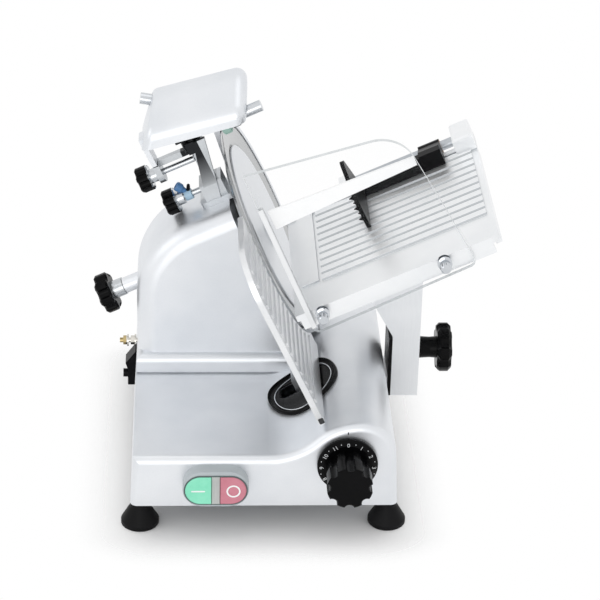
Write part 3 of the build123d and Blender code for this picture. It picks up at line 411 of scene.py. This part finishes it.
# Turned brass at the tip, warm yellow; nickel plate on the nuts, pale and a little yellow.
grain(tree, shader, 0.7, 0.006, ("#C9C6BE", "#D6D3CC"), (0.16, 0.26))
brass_length = 6.5 * mm
stud_low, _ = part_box("earth_stud")
place = add(tree, "ShaderNodeTexCoord")
apart = add(tree, "ShaderNodeSeparateXYZ", None, {0: place.outputs["Object"]})
tip = add(tree, "ShaderNodeMath", {"operation": "LESS_THAN", 1: stud_low.x + brass_length},
          {0: apart.outputs["X"]})
paint_over(tree, shader, tip, "#B9A679")
cover(plated_brass, "earth_stud")

# Thickness gear: a spiral cam on the dial shaft moves a slide on two steel rods.
# Cast and milled aluminium, ground rods, and a bronze bush for the shaft in the ridge's front.
milled_aluminium, tree, shader = finish_named("milled_aluminium", {"Metallic": 1.0})
# Milled aluminium: bright, with cutter lines a millimetre apart.
grain(tree, shader, 1.0, 0.01, ("#B7BBBF", "#CACDD0"), (0.26, 0.38), {"Scale": (1, 14, 1)})
cover(milled_aluminium, "gauge_slide", "spiral_cam")
ground_bar, tree, shader = finish_named("ground_round_bar", {"Metallic": 1.0})
# Ground and polished round bar: mirror-like, with faint drawn-out lines, shown at 1 mm.
grain(tree, shader, 1.0, 0.003, ("#B9BCC0", "#CBCED1"), (0.1, 0.18))
cover(ground_bar, "gauge_rods", "dial_shaft")
sintered_bronze, tree, shader = finish_named("sintered_bronze", {"Metallic": 1.0})
# Sintered bronze: dull brown yellow with open pores near 0.3 mm, drawn at 0.7 mm.
grain(tree, shader, 0.7, 0.03, ("#9A6F3A", "#B98A4E"), (0.38, 0.55))
cover(sintered_bronze, "dial_bush")

# Dial: a disc with figures round the rim and a lobed knob, both pressed on the shaft.
# Moulded phenolic; figures and dots are cut in and filled with white paint.
phenolic, tree, shader = finish_named("black_phenolic", {"IOR": 1.6, "Specular IOR Level": 0.06})
# Pressed phenolic: jet black and glossy, with slight ripples 5 mm apart from the press.
grain(tree, shader, 5.0, 0.03, ("#040405", "#09090A"), (0.16, 0.26))
cover(phenolic, "dial_disc", "dial_knob")
white_paint, tree, shader = finish_named("white_fill_paint", {"IOR": 1.5})
# Paint wiped into cut figures: off-white, uneven where it was wiped thin.
grain(tree, shader, 1.2, 0.02, ("#C3C6C8", "#DCDEDF"), (0.5, 0.65))
dial_joint = next(joint for joint in frame["joints"] if joint["name"] == "dial_turn")
disc_low, disc_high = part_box("dial_disc")
disc_radius = (disc_high.x - disc_low.x) / 2
dial_middle = Vector(dial_joint["pos_m"])
dial_middle.y = disc_low.y
figure_count = 12
figure_step = math.radians(30)
figure_height = 4.2 * mm
figure_depth = 0.12 * mm
figure_inset, dot_inset = 4.2 * mm, 2.6 * mm
type_per_height = 1.35
gathered = bmesh.new()
for figure in range(figure_count):
    script = bpy.data.curves.new("figure", "FONT")
    script.body = str(figure)
    script.size = figure_height * type_per_height
    script.extrude = figure_depth
    script.resolution_u = 3
    script.align_x = "CENTER"
    script.align_y = "CENTER"
    holder = bpy.data.objects.new("figure", script)
    bpy.context.collection.objects.link(holder)
    shape = bpy.data.meshes.new_from_object(holder.evaluated_get(bpy.context.evaluated_depsgraph_get()))
    bpy.data.objects.remove(holder)
    turn = figure * figure_step
    outward = Vector((math.sin(turn), 0.0, math.cos(turn)))
    sideways = Vector((math.cos(turn), 0.0, -math.sin(turn)))
    upright = Matrix((sideways, outward, -rear)).transposed().to_4x4()
    upright.translation = dial_middle + outward * (disc_radius - figure_inset)
    shape.transform(upright)
    gathered.from_mesh(shape)
bmesh.ops.remove_doubles(gathered, verts=gathered.verts, dist=0.005 * mm)
put("dial_figures", meshed("dial_figures", gathered), white_paint, "dial")

ring_tree, given, result = new_tree("ring_of_marks", (
    ("Count", "NodeSocketInt"), ("Start", "NodeSocketFloat"), ("Step", "NodeSocketFloat"),
    ("Finish", "NodeSocketMaterial")))
number = add(ring_tree, "GeometryNodeInputIndex")
angle = add(ring_tree, "ShaderNodeMath", {"operation": "MULTIPLY_ADD"}, {
    0: number.outputs[0], 1: given.outputs["Step"], 2: given.outputs["Start"]})
swing = add(ring_tree, "FunctionNodeAxisAngleToRotation", {"Axis": (0, 0, 1)}, {"Angle": angle.outputs[0]})
spots = add(ring_tree, "GeometryNodePoints", None, {"Count": given.outputs["Count"]})
copies = add(ring_tree, "GeometryNodeInstanceOnPoints", None, {
    "Points": spots.outputs[0], "Instance": given.outputs["Geometry"], "Rotation": swing.outputs[0]})
solid = add(ring_tree, "GeometryNodeRealizeInstances", None, {0: copies.outputs[0]})
dressed = add(ring_tree, "GeometryNodeSetMaterial", None,
              {"Geometry": solid.outputs[0], "Material": given.outputs["Finish"]})
ring_tree.links.new(dressed.outputs[0], result.inputs[0])
dot_profile = [(0, -0.1), (0.5, -0.1), (0.5, 0.08), (0.35, 0.12), (0, 0.12)]
dot = lathe(dot_profile, 10)
bmesh.ops.translate(dot, verts=dot.verts, vec=(0, disc_radius - dot_inset, 0))
dots = repeated(meshed("dial_dot", dot), ring_tree, {
    "Count": figure_count, "Start": -figure_step / 2, "Step": -figure_step, "Finish": white_paint})
dots.transform(Matrix.Translation(dial_middle) @ face_front)
put("dial_dots", dots, white_paint, "dial")
# The index is a short black stroke above the disc; a line from the front finds the casting there.
casting = nodes["base_casting"].data
casting_surface = BVHTree.FromPolygons(
    [vert.co for vert in casting.vertices], [face.vertices for face in casting.polygons])
index_length, index_width, index_rise, index_gap = 2.6, 1.1, 0.15, 2.6
clear_of_knob = 30 * mm
index_start = Vector((dial_middle.x, disc_low.y - clear_of_knob, disc_high.z + index_gap * mm))
index_spot, _, _, _ = casting_surface.ray_cast(index_start, rear)
index_profile = [(0, mark_low), (index_width / 2, mark_low), (index_width / 2, index_rise), (0, index_rise)]
form = lathe(index_profile, 12)
for vert in form.verts:
    if vert.co.y > 1e-7:
        vert.co.y += (index_length - index_width) * mm
index_mark = meshed("index_mark", form)
index_mark.transform(Matrix.Translation(index_spot) @ face_front)
put("index_mark", index_mark, black_nylon, "machine")

# Gauge plate with its arm: a ribbed plate that the food slides down to the blade.
# Cast aluminium, milled in ribs, anodised; two bolts hold it to the arm behind. A rubber pad
# cemented to its lower front end keeps it off the deck's edge.
ribbed_aluminium, tree, shader = finish_named("brushed_anodised_aluminium", {"Metallic": 0.9})
# Brushed anodised aluminium: streaks along the ribs, near 0.2 mm, drawn at 0.9 mm.
grain(tree, shader, 0.9, 0.012, ("#D9DBDE", "#EAEBEC"), (0.3, 0.42), {**on_slope, "Scale": (30, 1, 1)})
cover(ribbed_aluminium, "gauge_plate")
cover(milled_aluminium, "gauge_arm")
cover(zinc_plate, "gauge_bolts")
pad_rubber, tree, shader = finish_named("grey_pad_rubber", {"Specular IOR Level": 0.2})
# Cut rubber sheet: dark grey and dull, the knife's drag drawn at 1 mm.
grain(tree, shader, 1.0, 0.02, ("#2E2F30", "#3E3F40"), (0.5, 0.65))


def skin(loops, ring=False):
    """Form over loops of points: a closed ring of them, or a run with a face at each end."""
    form = bmesh.new()
    rows = [[form.verts.new(point) for point in loop] for loop in loops]
    for here, there in zip(rows, rows[1:] + rows[:1] if ring else rows[1:]):
        for k in range(len(here)):
            i = (k + 1) % len(here)
            form.faces.new((here[k], here[i], there[i], there[k]))
    if not ring:
        form.faces.new(rows[0])
        form.faces.new(rows[-1])
    bmesh.ops.recalc_face_normals(form, faces=form.faces)
    return form


plate_low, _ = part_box("gauge_plate")
pad_front = (plate_low.y - blade_middle.y) / mm
pad_low, pad_high = -116.2, -110.2
pad_middle, pad_half, pad_corner = -3.5, 2.5, 0.8
layers = []
for depth, inset in ((-0.1, 0.0), (0.5, 0.0), (0.9, 0.5)):
    low, high, half = pad_low + inset, pad_high - inset, pad_half - inset
    straight = half - pad_corner
    outline = ((low + pad_corner, -half), (high - pad_corner, -half), (high, -straight), (high, straight),
               (high - pad_corner, half), (low + pad_corner, half), (low, straight), (low, -straight))
    layers.append([at(pad_front - depth, y, pad_middle + z) for y, z in outline])
put("plate_pad", meshed("plate_pad", skin(layers)), pad_rubber, "gauge")

# Boot round the arm: an oval moulding with a thick rolled rim, lying on the deck's slope.
# Black rubber, slotted for the arm's travel; a thin bright steel ring at the inner foot of the rim is a
# painted highlight.
boot_rubber, tree, shader = finish_named("moulded_boot_rubber", {"Specular IOR Level": 0.1})
# Moulded rubber of the boot: black with a soft sheen on the rolled rim, grain drawn at 0.9 mm.
grain(tree, shader, 0.9, 0.02, ("#070708", "#0F0F10"), (0.24, 0.36))
boot_spot = Vector((-108.0, -21.5))
boot_half = (40.0, 37.0)
mouth_spot = Vector((-99.0, -28.5))
mouth_half = (11.5, 18.5)
mouth_corner = 5.0
boot_profile = ((1.0, 0.0), (1.0, 1.8), (0.985, 3.2), (0.955, 3.9), (0.92, 3.8), (0.89, 3.0),
                (0.84, 1.2), (0.8, 0.9), (0.6, 0.9), (0.3, 1.0), (0.06, 1.5), (0.0, 1.2), (0.0, 0.0))
boot_sides = 96
# Painted highlight: a thin bright steel ring inside the rim stands in for the highlight along it.
highlight_ring_share, highlight_ring_height, highlight_ring_radius, highlight_ring_sides = 0.83, 1.6, 0.7, 6
beside_mouth, above_deck = -140.0, -95.0


def on_deck(spot, height):
    """Point at a height over the deck's slope, in millimetres, taken beside the slot for the arm."""
    ground, _, _, _ = casting_surface.ray_cast(at(beside_mouth, above_deck, spot.y), -uphill)
    ground.y = blade_middle.y + spot.x * mm
    return ground + uphill * height * mm


boot_loops = []
highlight_ring_loops = []
for k in range(boot_sides):
    turn = 2 * math.pi * k / boot_sides
    side = Vector((boot_half[0] * math.cos(turn), boot_half[1] * math.sin(turn)))
    core = Vector((math.copysign(mouth_half[0] - mouth_corner, math.cos(turn)),
                   math.copysign(mouth_half[1] - mouth_corner, math.sin(turn))))
    inner = mouth_spot + core + Vector((math.cos(turn), math.sin(turn))) * mouth_corner
    outer = boot_spot + side
    boot_loops.append([on_deck(inner.lerp(outer, share), height) for share, height in boot_profile])
    highlight_ring_loop = []
    for j in range(highlight_ring_sides):
        about = 2 * math.pi * j / highlight_ring_sides
        spot = boot_spot + side * (highlight_ring_share + highlight_ring_radius * math.cos(about) / side.length)
        highlight_ring_loop.append(on_deck(spot, highlight_ring_height + highlight_ring_radius * math.sin(about)))
    highlight_ring_loops.append(highlight_ring_loop)
boot_mesh = meshed("arm_boot", skin(boot_loops, ring=True), True)
boot = put("arm_boot", boot_mesh, boot_rubber, "machine")
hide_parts("gauge_boot")
highlight_ring_mesh = meshed("boot_highlight_ring", skin(highlight_ring_loops, ring=True), True)
put("boot_highlight_ring", highlight_ring_mesh, ground_bar, "machine")

# Blade: round knife of hardened steel, hollow ground, on the shaft's flange.
# A turned cover disc stands still in its middle, pulled in by a tie rod with a lobed knob on the
# far side, and a cast guard wraps the edge.
blade_steel, tree, shader = finish_named("ground_blade_steel", {"Metallic": 1.0})
# Hollow-ground steel: polished, with grinding circles near 0.1 mm, drawn at 0.7 mm.
rings(tree, shader, 0.7, 0.006, ("#9C9E9F", "#B6B8B9"), (0.16, 0.28))
cover(blade_steel, "blade")
spun_cover, tree, shader = finish_named("turned_anodised_disc", {"Metallic": 0.9})
# Turned and anodised disc: pale silver, circles drawn at 1.2 mm.
rings(tree, shader, 1.2, 0.01, ("#D3D6DA", "#E2E4E7"), (0.3, 0.42))
cover(spun_cover, "blade_cover")
cover(blasted_aluminium, "blade_guard")


def with_steel(name, limit):
    """Phenolic knob with a bright steel screw: black below a height along the blade axis, steel above."""
    finish, tree, shader = finish_named(name, {"IOR": 1.6, "Specular IOR Level": 0.06})
    grain(tree, shader, 3.0, 0.02, ("#040405", "#0A0A0B"), (0.16, 0.28))
    apart = add(tree, "ShaderNodeSeparateXYZ", None, {0: slope_place(tree)})
    steel = add(tree, "ShaderNodeMath", {"operation": "GREATER_THAN", 1: limit * mm},
                {0: apart.outputs["Z"]})
    paint_over(tree, shader, steel, "#C4C7CA")
    tree.links.new(steel.outputs[0], shader.inputs["Metallic"])
    return finish


# Tie-rod knob: jet black phenolic lobes on a bright turned collar.
tie_knob_back, tie_lobes = -183.416, 14.2
cover(with_steel("phenolic_tie_knob", tie_knob_back + tie_lobes), "cover_knob")

# Carriage: a round rail and a guide rod inside the ridge, a slider with two bronze bushes,
# and a cast arm that carries the table; a plastic pad and a lobed knob lock it.
cover(ground_bar, "carriage_shaft", "guide_rod")
cover(milled_aluminium, "carriage_slider")
cover(sintered_bronze, "slider_bushes")
cast_arm, tree, shader = finish_named("polished_cast_aluminium", {"Metallic": 0.85})
# Cast aluminium, belt polished and anodised: pale, with upright polishing lines drawn at 1 mm.
grain(tree, shader, 1.0, 0.01, ("#DCDEE1", "#E8EAEC"), (0.34, 0.44), {"Scale": (1, 1, 20)})
cover(cast_arm, "carriage_arm")
cover(black_nylon, "slide_shoe", "wear_pad")
cover(phenolic, "carriage_knob")

# Food table: a ribbed tray with a rear wall and a pillar for the pusher's rod.
# Cast aluminium, ribs milled across, anodised; the rod is zinc-plated steel.
tray_aluminium, tree, shader = finish_named("milled_anodised_tray", {"Metallic": 0.85})
# Milled and anodised: brighter than the base, cutter lines run with the ribs, drawn at 1 mm.
grain(tree, shader, 1.0, 0.01, ("#E8EAEC", "#F2F3F4"), (0.32, 0.42), {**on_slope, "Scale": (1, 1, 24)})
# Painted shade on the flanks of the ribs, which shows as darker lines; height tells them.
flank_middle, flank_half = -9.075, 0.8
apart = add(tree, "ShaderNodeSeparateXYZ", None, {0: slope_place(tree)})
painted_flank_shade = add(tree, "ShaderNodeMath", {"operation": "COMPARE", 1: flank_middle * mm, 2: flank_half * mm},
            {0: apart.outputs["Y"]})
paint_over(tree, shader, painted_flank_shade, "#BBBFC2")
cover(tray_aluminium, "food_table")
cover(zinc_plate, "pusher_rod")

# Pusher: an arm that straddles the rear wall on a bronze bush and a plate with teeth.
# Moulded glass-filled nylon, black, half matt.
cover(sintered_bronze, "pusher_bush")
filled_nylon, tree, shader = finish_named("glass_filled_nylon", {"IOR": 1.55, "Specular IOR Level": 0.08})
# Glass-filled nylon: black with a grey bloom of fibres at the skin, drawn at 1.2 mm.
grain(tree, shader, 1.2, 0.02, ("#070708", "#111113"), (0.28, 0.42))
cover(filled_nylon, "pusher_arm", "pusher_plate")

# Hand guard: a clear sheet on the front lip of the table, with a white bar bonded behind it
# and a white channel pushed over its blade edge. Cast acrylic, sawn; two thumb screws hold it.
clear_acrylic, tree, shader = finish_named("clear_cast_acrylic", {"IOR": 1.49})
# Cast acrylic: all but unseen across the sheet, milky along the sawn edges, faintly wiped.
grain(tree, shader, 12.0, 0.002, ("#C3C8CA", "#D3D7D9"), (0.06, 0.12))
edge_turn, face_turn = 0.3, 0.8
edge_milk, face_milk = 0.85, 0.008
surface = add(tree, "ShaderNodeNewGeometry")
apart = add(tree, "ShaderNodeSeparateXYZ", None, {0: surface.outputs["Normal"]})
facing = add(tree, "ShaderNodeMath", {"operation": "ABSOLUTE"}, {0: apart.outputs["Y"]})
milky = add(tree, "ShaderNodeMapRange", {1: edge_turn, 2: face_turn, 3: edge_milk, 4: face_milk},
            {0: facing.outputs[0]})
tree.links.new(milky.outputs[0], shader.inputs["Alpha"])
cover(clear_acrylic, "hand_guard")
white_enamel, tree, shader = finish_named("white_stoving_enamel", {"IOR": 1.5})
# Stoving enamel on an aluminium bar: plain white, slight orange peel of 2 mm.
grain(tree, shader, 2.0, 0.02, ("#F1F2F3", "#F8F8F8"), (0.28, 0.4))
cover(white_enamel, "guard_bar")
channel_vinyl, tree, shader = finish_named("white_extruded_vinyl", {"IOR": 1.53})
# Extruded vinyl channel: milky white, satin, with faint draw lines along it, shown at 1 mm.
grain(tree, shader, 1.0, 0.01, ("#DDDFE1", "#E9EAEB"), (0.35, 0.48), {**on_slope, "Scale": (1, 30, 1)})
guard_low, guard_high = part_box("hand_guard")
guard_front = (guard_low.y - blade_middle.y) / mm
guard_back = (guard_high.y - blade_middle.y) / mm
edge_low, edge_high = (-25.0, 27.2), (106.0, 30.96)
channel_depth, channel_wall, channel_back, channel_gap = 3.8, 0.9, 0.45, 0.06
channel_section = (
    (guard_front - channel_wall, -channel_wall), (guard_front - channel_wall, channel_depth),
    (guard_front - channel_gap, channel_depth), (guard_front - channel_gap, -channel_gap),
    (guard_back + channel_gap, -channel_gap), (guard_back + channel_gap, channel_depth),
    (guard_back + channel_back, channel_depth), (guard_back + channel_back, -channel_wall))
channel = skin([[at(x, y, z + rise) for x, rise in channel_section] for y, z in (edge_low, edge_high)])
put("guard_channel", meshed("guard_channel", channel), channel_vinyl, "carriage")
chrome_plate, tree, shader = finish_named("chrome_plated_brass", {"Metallic": 1.0})
# Chrome plate: cool mirror with a trace of the turning under it, drawn at 1 mm.
grain(tree, shader, 1.0, 0.004, ("#BFC3C8", "#D2D5D9"), (0.06, 0.14))
cover(chrome_plate, "guard_screws")
knurl_count = 18
knurl_radius, knurl_low, knurl_high = 4.6, 8.4, 17.4
knurl_half, knurl_sink, knurl_rise = 0.55, 0.15, 0.5
knurl_section = ((-knurl_half, knurl_radius - knurl_sink), (0.0, knurl_radius + knurl_rise),
                 (knurl_half, knurl_radius - knurl_sink))
ridge = skin([[(x * mm, y * mm, z * mm) for x, y in knurl_section] for z in (knurl_low, knurl_high)])
knurl = repeated(meshed("knurl", ridge), ring_tree, {
    "Count": knurl_count, "Start": 0.0, "Step": 2 * math.pi / knurl_count, "Finish": chrome_plate})


def stand(place, way):
    """Puts a form's own Z on a direction from a place."""
    return Matrix.Translation(place) @ Vector(way).to_track_quat("Z", "Y").to_matrix().to_4x4()


table_front = -182.0
screw_spots = ((-15.0, 41.0), (-13.5, 163.0))
gathered = bmesh.new()
for y, z in screw_spots:
    shape = knurl.copy()
    shape.transform(stand(at(table_front, y, z), -rear))
    gathered.from_mesh(shape)
put("screw_knurls", meshed("screw_knurls", gathered), chrome_plate, "carriage")

# Sharpener: a cast hood over two spring pins with grinding stones, on a post that turns and lifts.
# The hood is cast aluminium, the bracket a plated casting screwed to the housing; pins and post are
# steel, and the clamp knobs are phenolic on steel screws.
cover(blasted_aluminium, "sharpener_cover")
plated_bracket, tree, shader = finish_named("nickel_plated_casting", {"Metallic": 1.0})
# Nickel-plated casting: pale and half gloss over a 1.5 mm grain where it is ground for the clamps.
# The stay between carries painted shade from the hood above: dark at the top, fading to grey towards the
# clamp.
grain(tree, shader, 1.5, 0.005, ("#B9BDC0", "#CDD0D3"), (0.3, 0.4))
# Painted shade: the stay's upper part is darkened where it stands under the hood.
stay_middle, stay_half = -34.5, 11.5
stay_shade_start, stay_shade_full, shade_curve = 72.0, 104.0, 0.4
apart = add(tree, "ShaderNodeSeparateXYZ", None, {0: slope_place(tree)})
within = add(tree, "ShaderNodeMath", {"operation": "COMPARE", 1: stay_middle * mm, 2: stay_half * mm},
             {0: apart.outputs["Z"]})
upward = add(tree, "ShaderNodeMapRange", {1: stay_shade_start * mm, 2: stay_shade_full * mm}, {0: apart.outputs["Y"]})
shade_share = add(tree, "ShaderNodeMath", {"operation": "POWER", 1: shade_curve}, {0: upward.outputs[0]})
painted_stay_shade = add(tree, "ShaderNodeMath", {"operation": "MULTIPLY"},
                {0: within.outputs[0], 1: shade_share.outputs[0]})
paint_over(tree, shader, painted_stay_shade, "#2A2B2D")
cover(plated_bracket, "sharpener_bracket")
black_oxide, tree, shader = finish_named("black_oxide_steel", {"Metallic": 0.6})
# Black oxide: blue black and oily, grain drawn at 1 mm.
grain(tree, shader, 1.0, 0.015, ("#141517", "#212326"), (0.32, 0.48))
cover(black_oxide, "sharpener_carrier")
cover(ground_bar, "sharpener_post")
satin_chrome, tree, shader = finish_named("satin_chromed_steel", {"Metallic": 1.0})
# Satin chrome: pale and soft, with fine lines from the centreless grinder, drawn at 0.9 mm.
grain(tree, shader, 0.9, 0.006, ("#C2C5C9", "#D4D7DA"), (0.2, 0.3))
cover(satin_chrome, "deburr_pin", "grind_pin")
green_grit, tree, shader = finish_named("green_silicon_carbide", {"Specular IOR Level": 0.3})
# Bonded silicon carbide: grey green, open and sparkling; 0.3 mm grit drawn at 0.8 mm.
grain(tree, shader, 0.8, 0.2, ("#8FB3A8", "#AFCDC3"), (0.7, 0.9))
cover(green_grit, "deburr_stone")
pink_grit, tree, shader = finish_named("pink_corundum", {"Specular IOR Level": 0.3})
# Bonded corundum: dusty pink, the same grit.
grain(tree, shader, 0.8, 0.2, ("#A97C74", "#C79A90"), (0.7, 0.9))
cover(pink_grit, "grind_stone")
clamp_screw_low, clamp_screw_high = -70.2, -83.2
cover(with_steel("phenolic_post_knob", clamp_screw_low), "post_clamp_knob")
cover(with_steel("phenolic_head_knob", clamp_screw_high), "head_clamp_knob")

# Locking collar on the lower clamp screw, with a thumb tab and a short lever; it doesn't turn.
# Injection-moulded nylon, the collar pale blue, the tab mid blue and the lever black.
clamp_level = 64.6
pale_nylon, tree, shader = finish_named("pale_blue_nylon", {"IOR": 1.53})
# Moulded nylon: slightly waxy, half gloss.
grain(tree, shader, 1.0, 0.01, ("#9FBFD6", "#B4CFE2"), (0.3, 0.42))
collar_profile = [(3.3, -61.0), (5.0, -61.0), (5.5, -60.5), (5.5, -53.7), (5.0, -53.2), (3.3, -53.2),
                  (3.3, -61.0)]
collar = meshed("clamp_collar", lathe(collar_profile, 32))
collar.transform(Matrix.Translation(at(0, clamp_level, 0)) @ blade_axes.to_4x4())
put("clamp_collar", collar, pale_nylon, "machine")
blue_nylon, tree, shader = finish_named("blue_nylon", {"IOR": 1.53})
# The same nylon in mid blue.
grain(tree, shader, 1.0, 0.01, ("#4676A8", "#5A8ABC"), (0.28, 0.4))
tab_profile = [(0, 0), (2.6, 0), (3.2, 3.5), (4.6, 5.5), (4.8, 9.5), (4.2, 11.0), (3.4, 11.2), (3.2, 10.4),
               (0, 10.2)]
tab_foot, tab_way = at(0, clamp_level + 4.4, -58.6), uphill * 0.84 - across * 0.54
tab = meshed("clamp_tab", lathe(tab_profile, 24))
tab.transform(stand(tab_foot, tab_way))
put("clamp_tab", tab, blue_nylon, "machine")
lever_profile = [(0, 0), (2.0, 0), (1.8, 4.0), (1.5, 6.2), (0.9, 6.8), (0, 7.0)]
lever_foot, lever_way = at(-1.0, clamp_level + 4.6, -55.6), uphill * 0.9 + across * 0.44
lever = meshed("clamp_lever", lathe(lever_profile, 16), True)
lever.transform(stand(lever_foot, lever_way))
put("clamp_lever", lever, black_nylon, "machine")

# Floor: a pale sheet under the machine that fades into the white surround.
# Grey-white paper, unglazed; its grey, fading into the white surround, is painted shadow round the machine
# on top of the rendered shadow.
floor_radius = 1.2
form = bmesh.new()
bmesh.ops.create_circle(form, cap_ends=True, radius=floor_radius, segments=96)
floor_mesh = meshed("floor", form)
floor = bpy.data.objects.new("floor", floor_mesh)
bpy.context.collection.objects.link(floor)
floor_paper = bpy.data.materials.new("white_paper")
floor_paper.use_nodes = True
tree = floor_paper.node_tree
tree.nodes.clear()
# The sheet shows up to the feet, drawn in at the sides, and is gone a little way outside, so its painted
# shadow hugs the front and is narrower at the sides.
feet_low, feet_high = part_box("feet")
feet_middle = (feet_low + feet_high) / 2
feet_half = (feet_high - feet_low) / 2
shadow_inset = 40 * mm
shadow_edge = (90 * mm, 60 * mm, 1.0)
place = add(tree, "ShaderNodeTexCoord")
away = add(tree, "ShaderNodeVectorMath", {"operation": "SUBTRACT", 1: (feet_middle.x, feet_middle.y, 0)},
           {0: place.outputs["Object"]})
away = add(tree, "ShaderNodeVectorMath", {"operation": "ABSOLUTE"}, {0: away.outputs[0]})
away = add(tree, "ShaderNodeVectorMath",
           {"operation": "SUBTRACT", 1: (feet_half.x - shadow_inset, feet_half.y, 0)},
           {0: away.outputs[0]})
away = add(tree, "ShaderNodeVectorMath", {"operation": "MAXIMUM"}, {0: away.outputs[0]})
away = add(tree, "ShaderNodeVectorMath", {"operation": "DIVIDE", 1: shadow_edge}, {0: away.outputs[0]})
reach = add(tree, "ShaderNodeVectorMath", {"operation": "LENGTH"}, {0: away.outputs[0]})
fade = add(tree, "ShaderNodeMapRange", {"interpolation_type": "SMOOTHSTEP"}, {0: reach.outputs["Value"]})
# The paper's grey is painted shadow round the feet.
paper = add(tree, "ShaderNodeBsdfDiffuse", {"Color": linear("#E6E6E6")})
clear = add(tree, "ShaderNodeBsdfTransparent")
mixed = add(tree, "ShaderNodeMixShader", None,
            {0: fade.outputs[0], 1: paper.outputs[0], 2: clear.outputs[0]})
add(tree, "ShaderNodeOutputMaterial", None, {"Surface": mixed.outputs[0]})
floor_mesh.materials.append(floor_paper)

# Studio: a white surround and three soft boxes, at a level where pale metal stays below white.
# The surround is full white where it is seen, straight or in metal and glass, and lights the
# machine with a little less.
world = bpy.data.worlds.new("studio")
bpy.context.scene.world = world
world.use_nodes = True
tree = world.node_tree
tree.nodes.clear()
world_lit, world_seen = 0.92, 1.0
path = add(tree, "ShaderNodeLightPath")
seen = add(tree, "ShaderNodeMath", {"operation": "MAXIMUM"},
           {0: path.outputs["Is Camera Ray"], 1: path.outputs["Is Glossy Ray"]})
seen = add(tree, "ShaderNodeMath", {"operation": "MAXIMUM"},
           {0: seen.outputs[0], 1: path.outputs["Is Transmission Ray"]})
level = add(tree, "ShaderNodeMapRange", {3: world_lit, 4: world_seen}, {0: seen.outputs[0]})
sky = add(tree, "ShaderNodeBackground", {"Color": linear("#FFFFFF")}, {"Strength": level.outputs[0]})
add(tree, "ShaderNodeOutputWorld", None, {"Surface": sky.outputs[0]})
lit_middle = Vector((0.0, 0.0, 0.18))
for name, spot, size, power in (
    ("front_box", (-0.4, -1.9, 0.4), 1.2, 6.5),
    ("left_box", (-1.6, -0.5, 1.1), 1.0, 2.5),
    ("top_box", (0.3, 0.2, 1.9), 1.0, 1.5),
):
    lamp = bpy.data.lights.new(name, "AREA")
    lamp.size = size
    lamp.energy = power
    light = bpy.data.objects.new(name, lamp)
    bpy.context.collection.objects.link(light)
    light.location = spot
    light.rotation_euler = (lit_middle - Vector(spot)).to_track_quat("-Z", "Y").to_euler()

# Camera: a long lens a little left of the middle and well above the deck.
# Its place is counted from the floor below the base's front edge, midway between the feet.
camera_turn = math.radians(-3.113)
camera_height = math.radians(28.468)
camera_roll = math.radians(1.483)
camera_step = Vector((-0.07416, -1.8947, 1.27584))
camera_data = bpy.data.cameras.new("camera")
camera_data.sensor_width = 36.0
camera_data.lens = 143.62
camera_data.clip_end = 20.0
camera = bpy.data.objects.new("camera", camera_data)
bpy.context.collection.objects.link(camera)
base_low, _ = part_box("base_casting")
camera.location = Vector((feet_middle.x, base_low.y, 0.0)) + camera_step
aim = Matrix.Rotation(camera_turn, 3, "Z") @ Matrix.Rotation(math.pi / 2 - camera_height, 3, "X")
camera.rotation_euler = (aim @ Matrix.Rotation(camera_roll, 3, "Z")).to_euler()
bpy.context.scene.camera = camera

bpy.context.scene.view_settings.view_transform = "Standard"
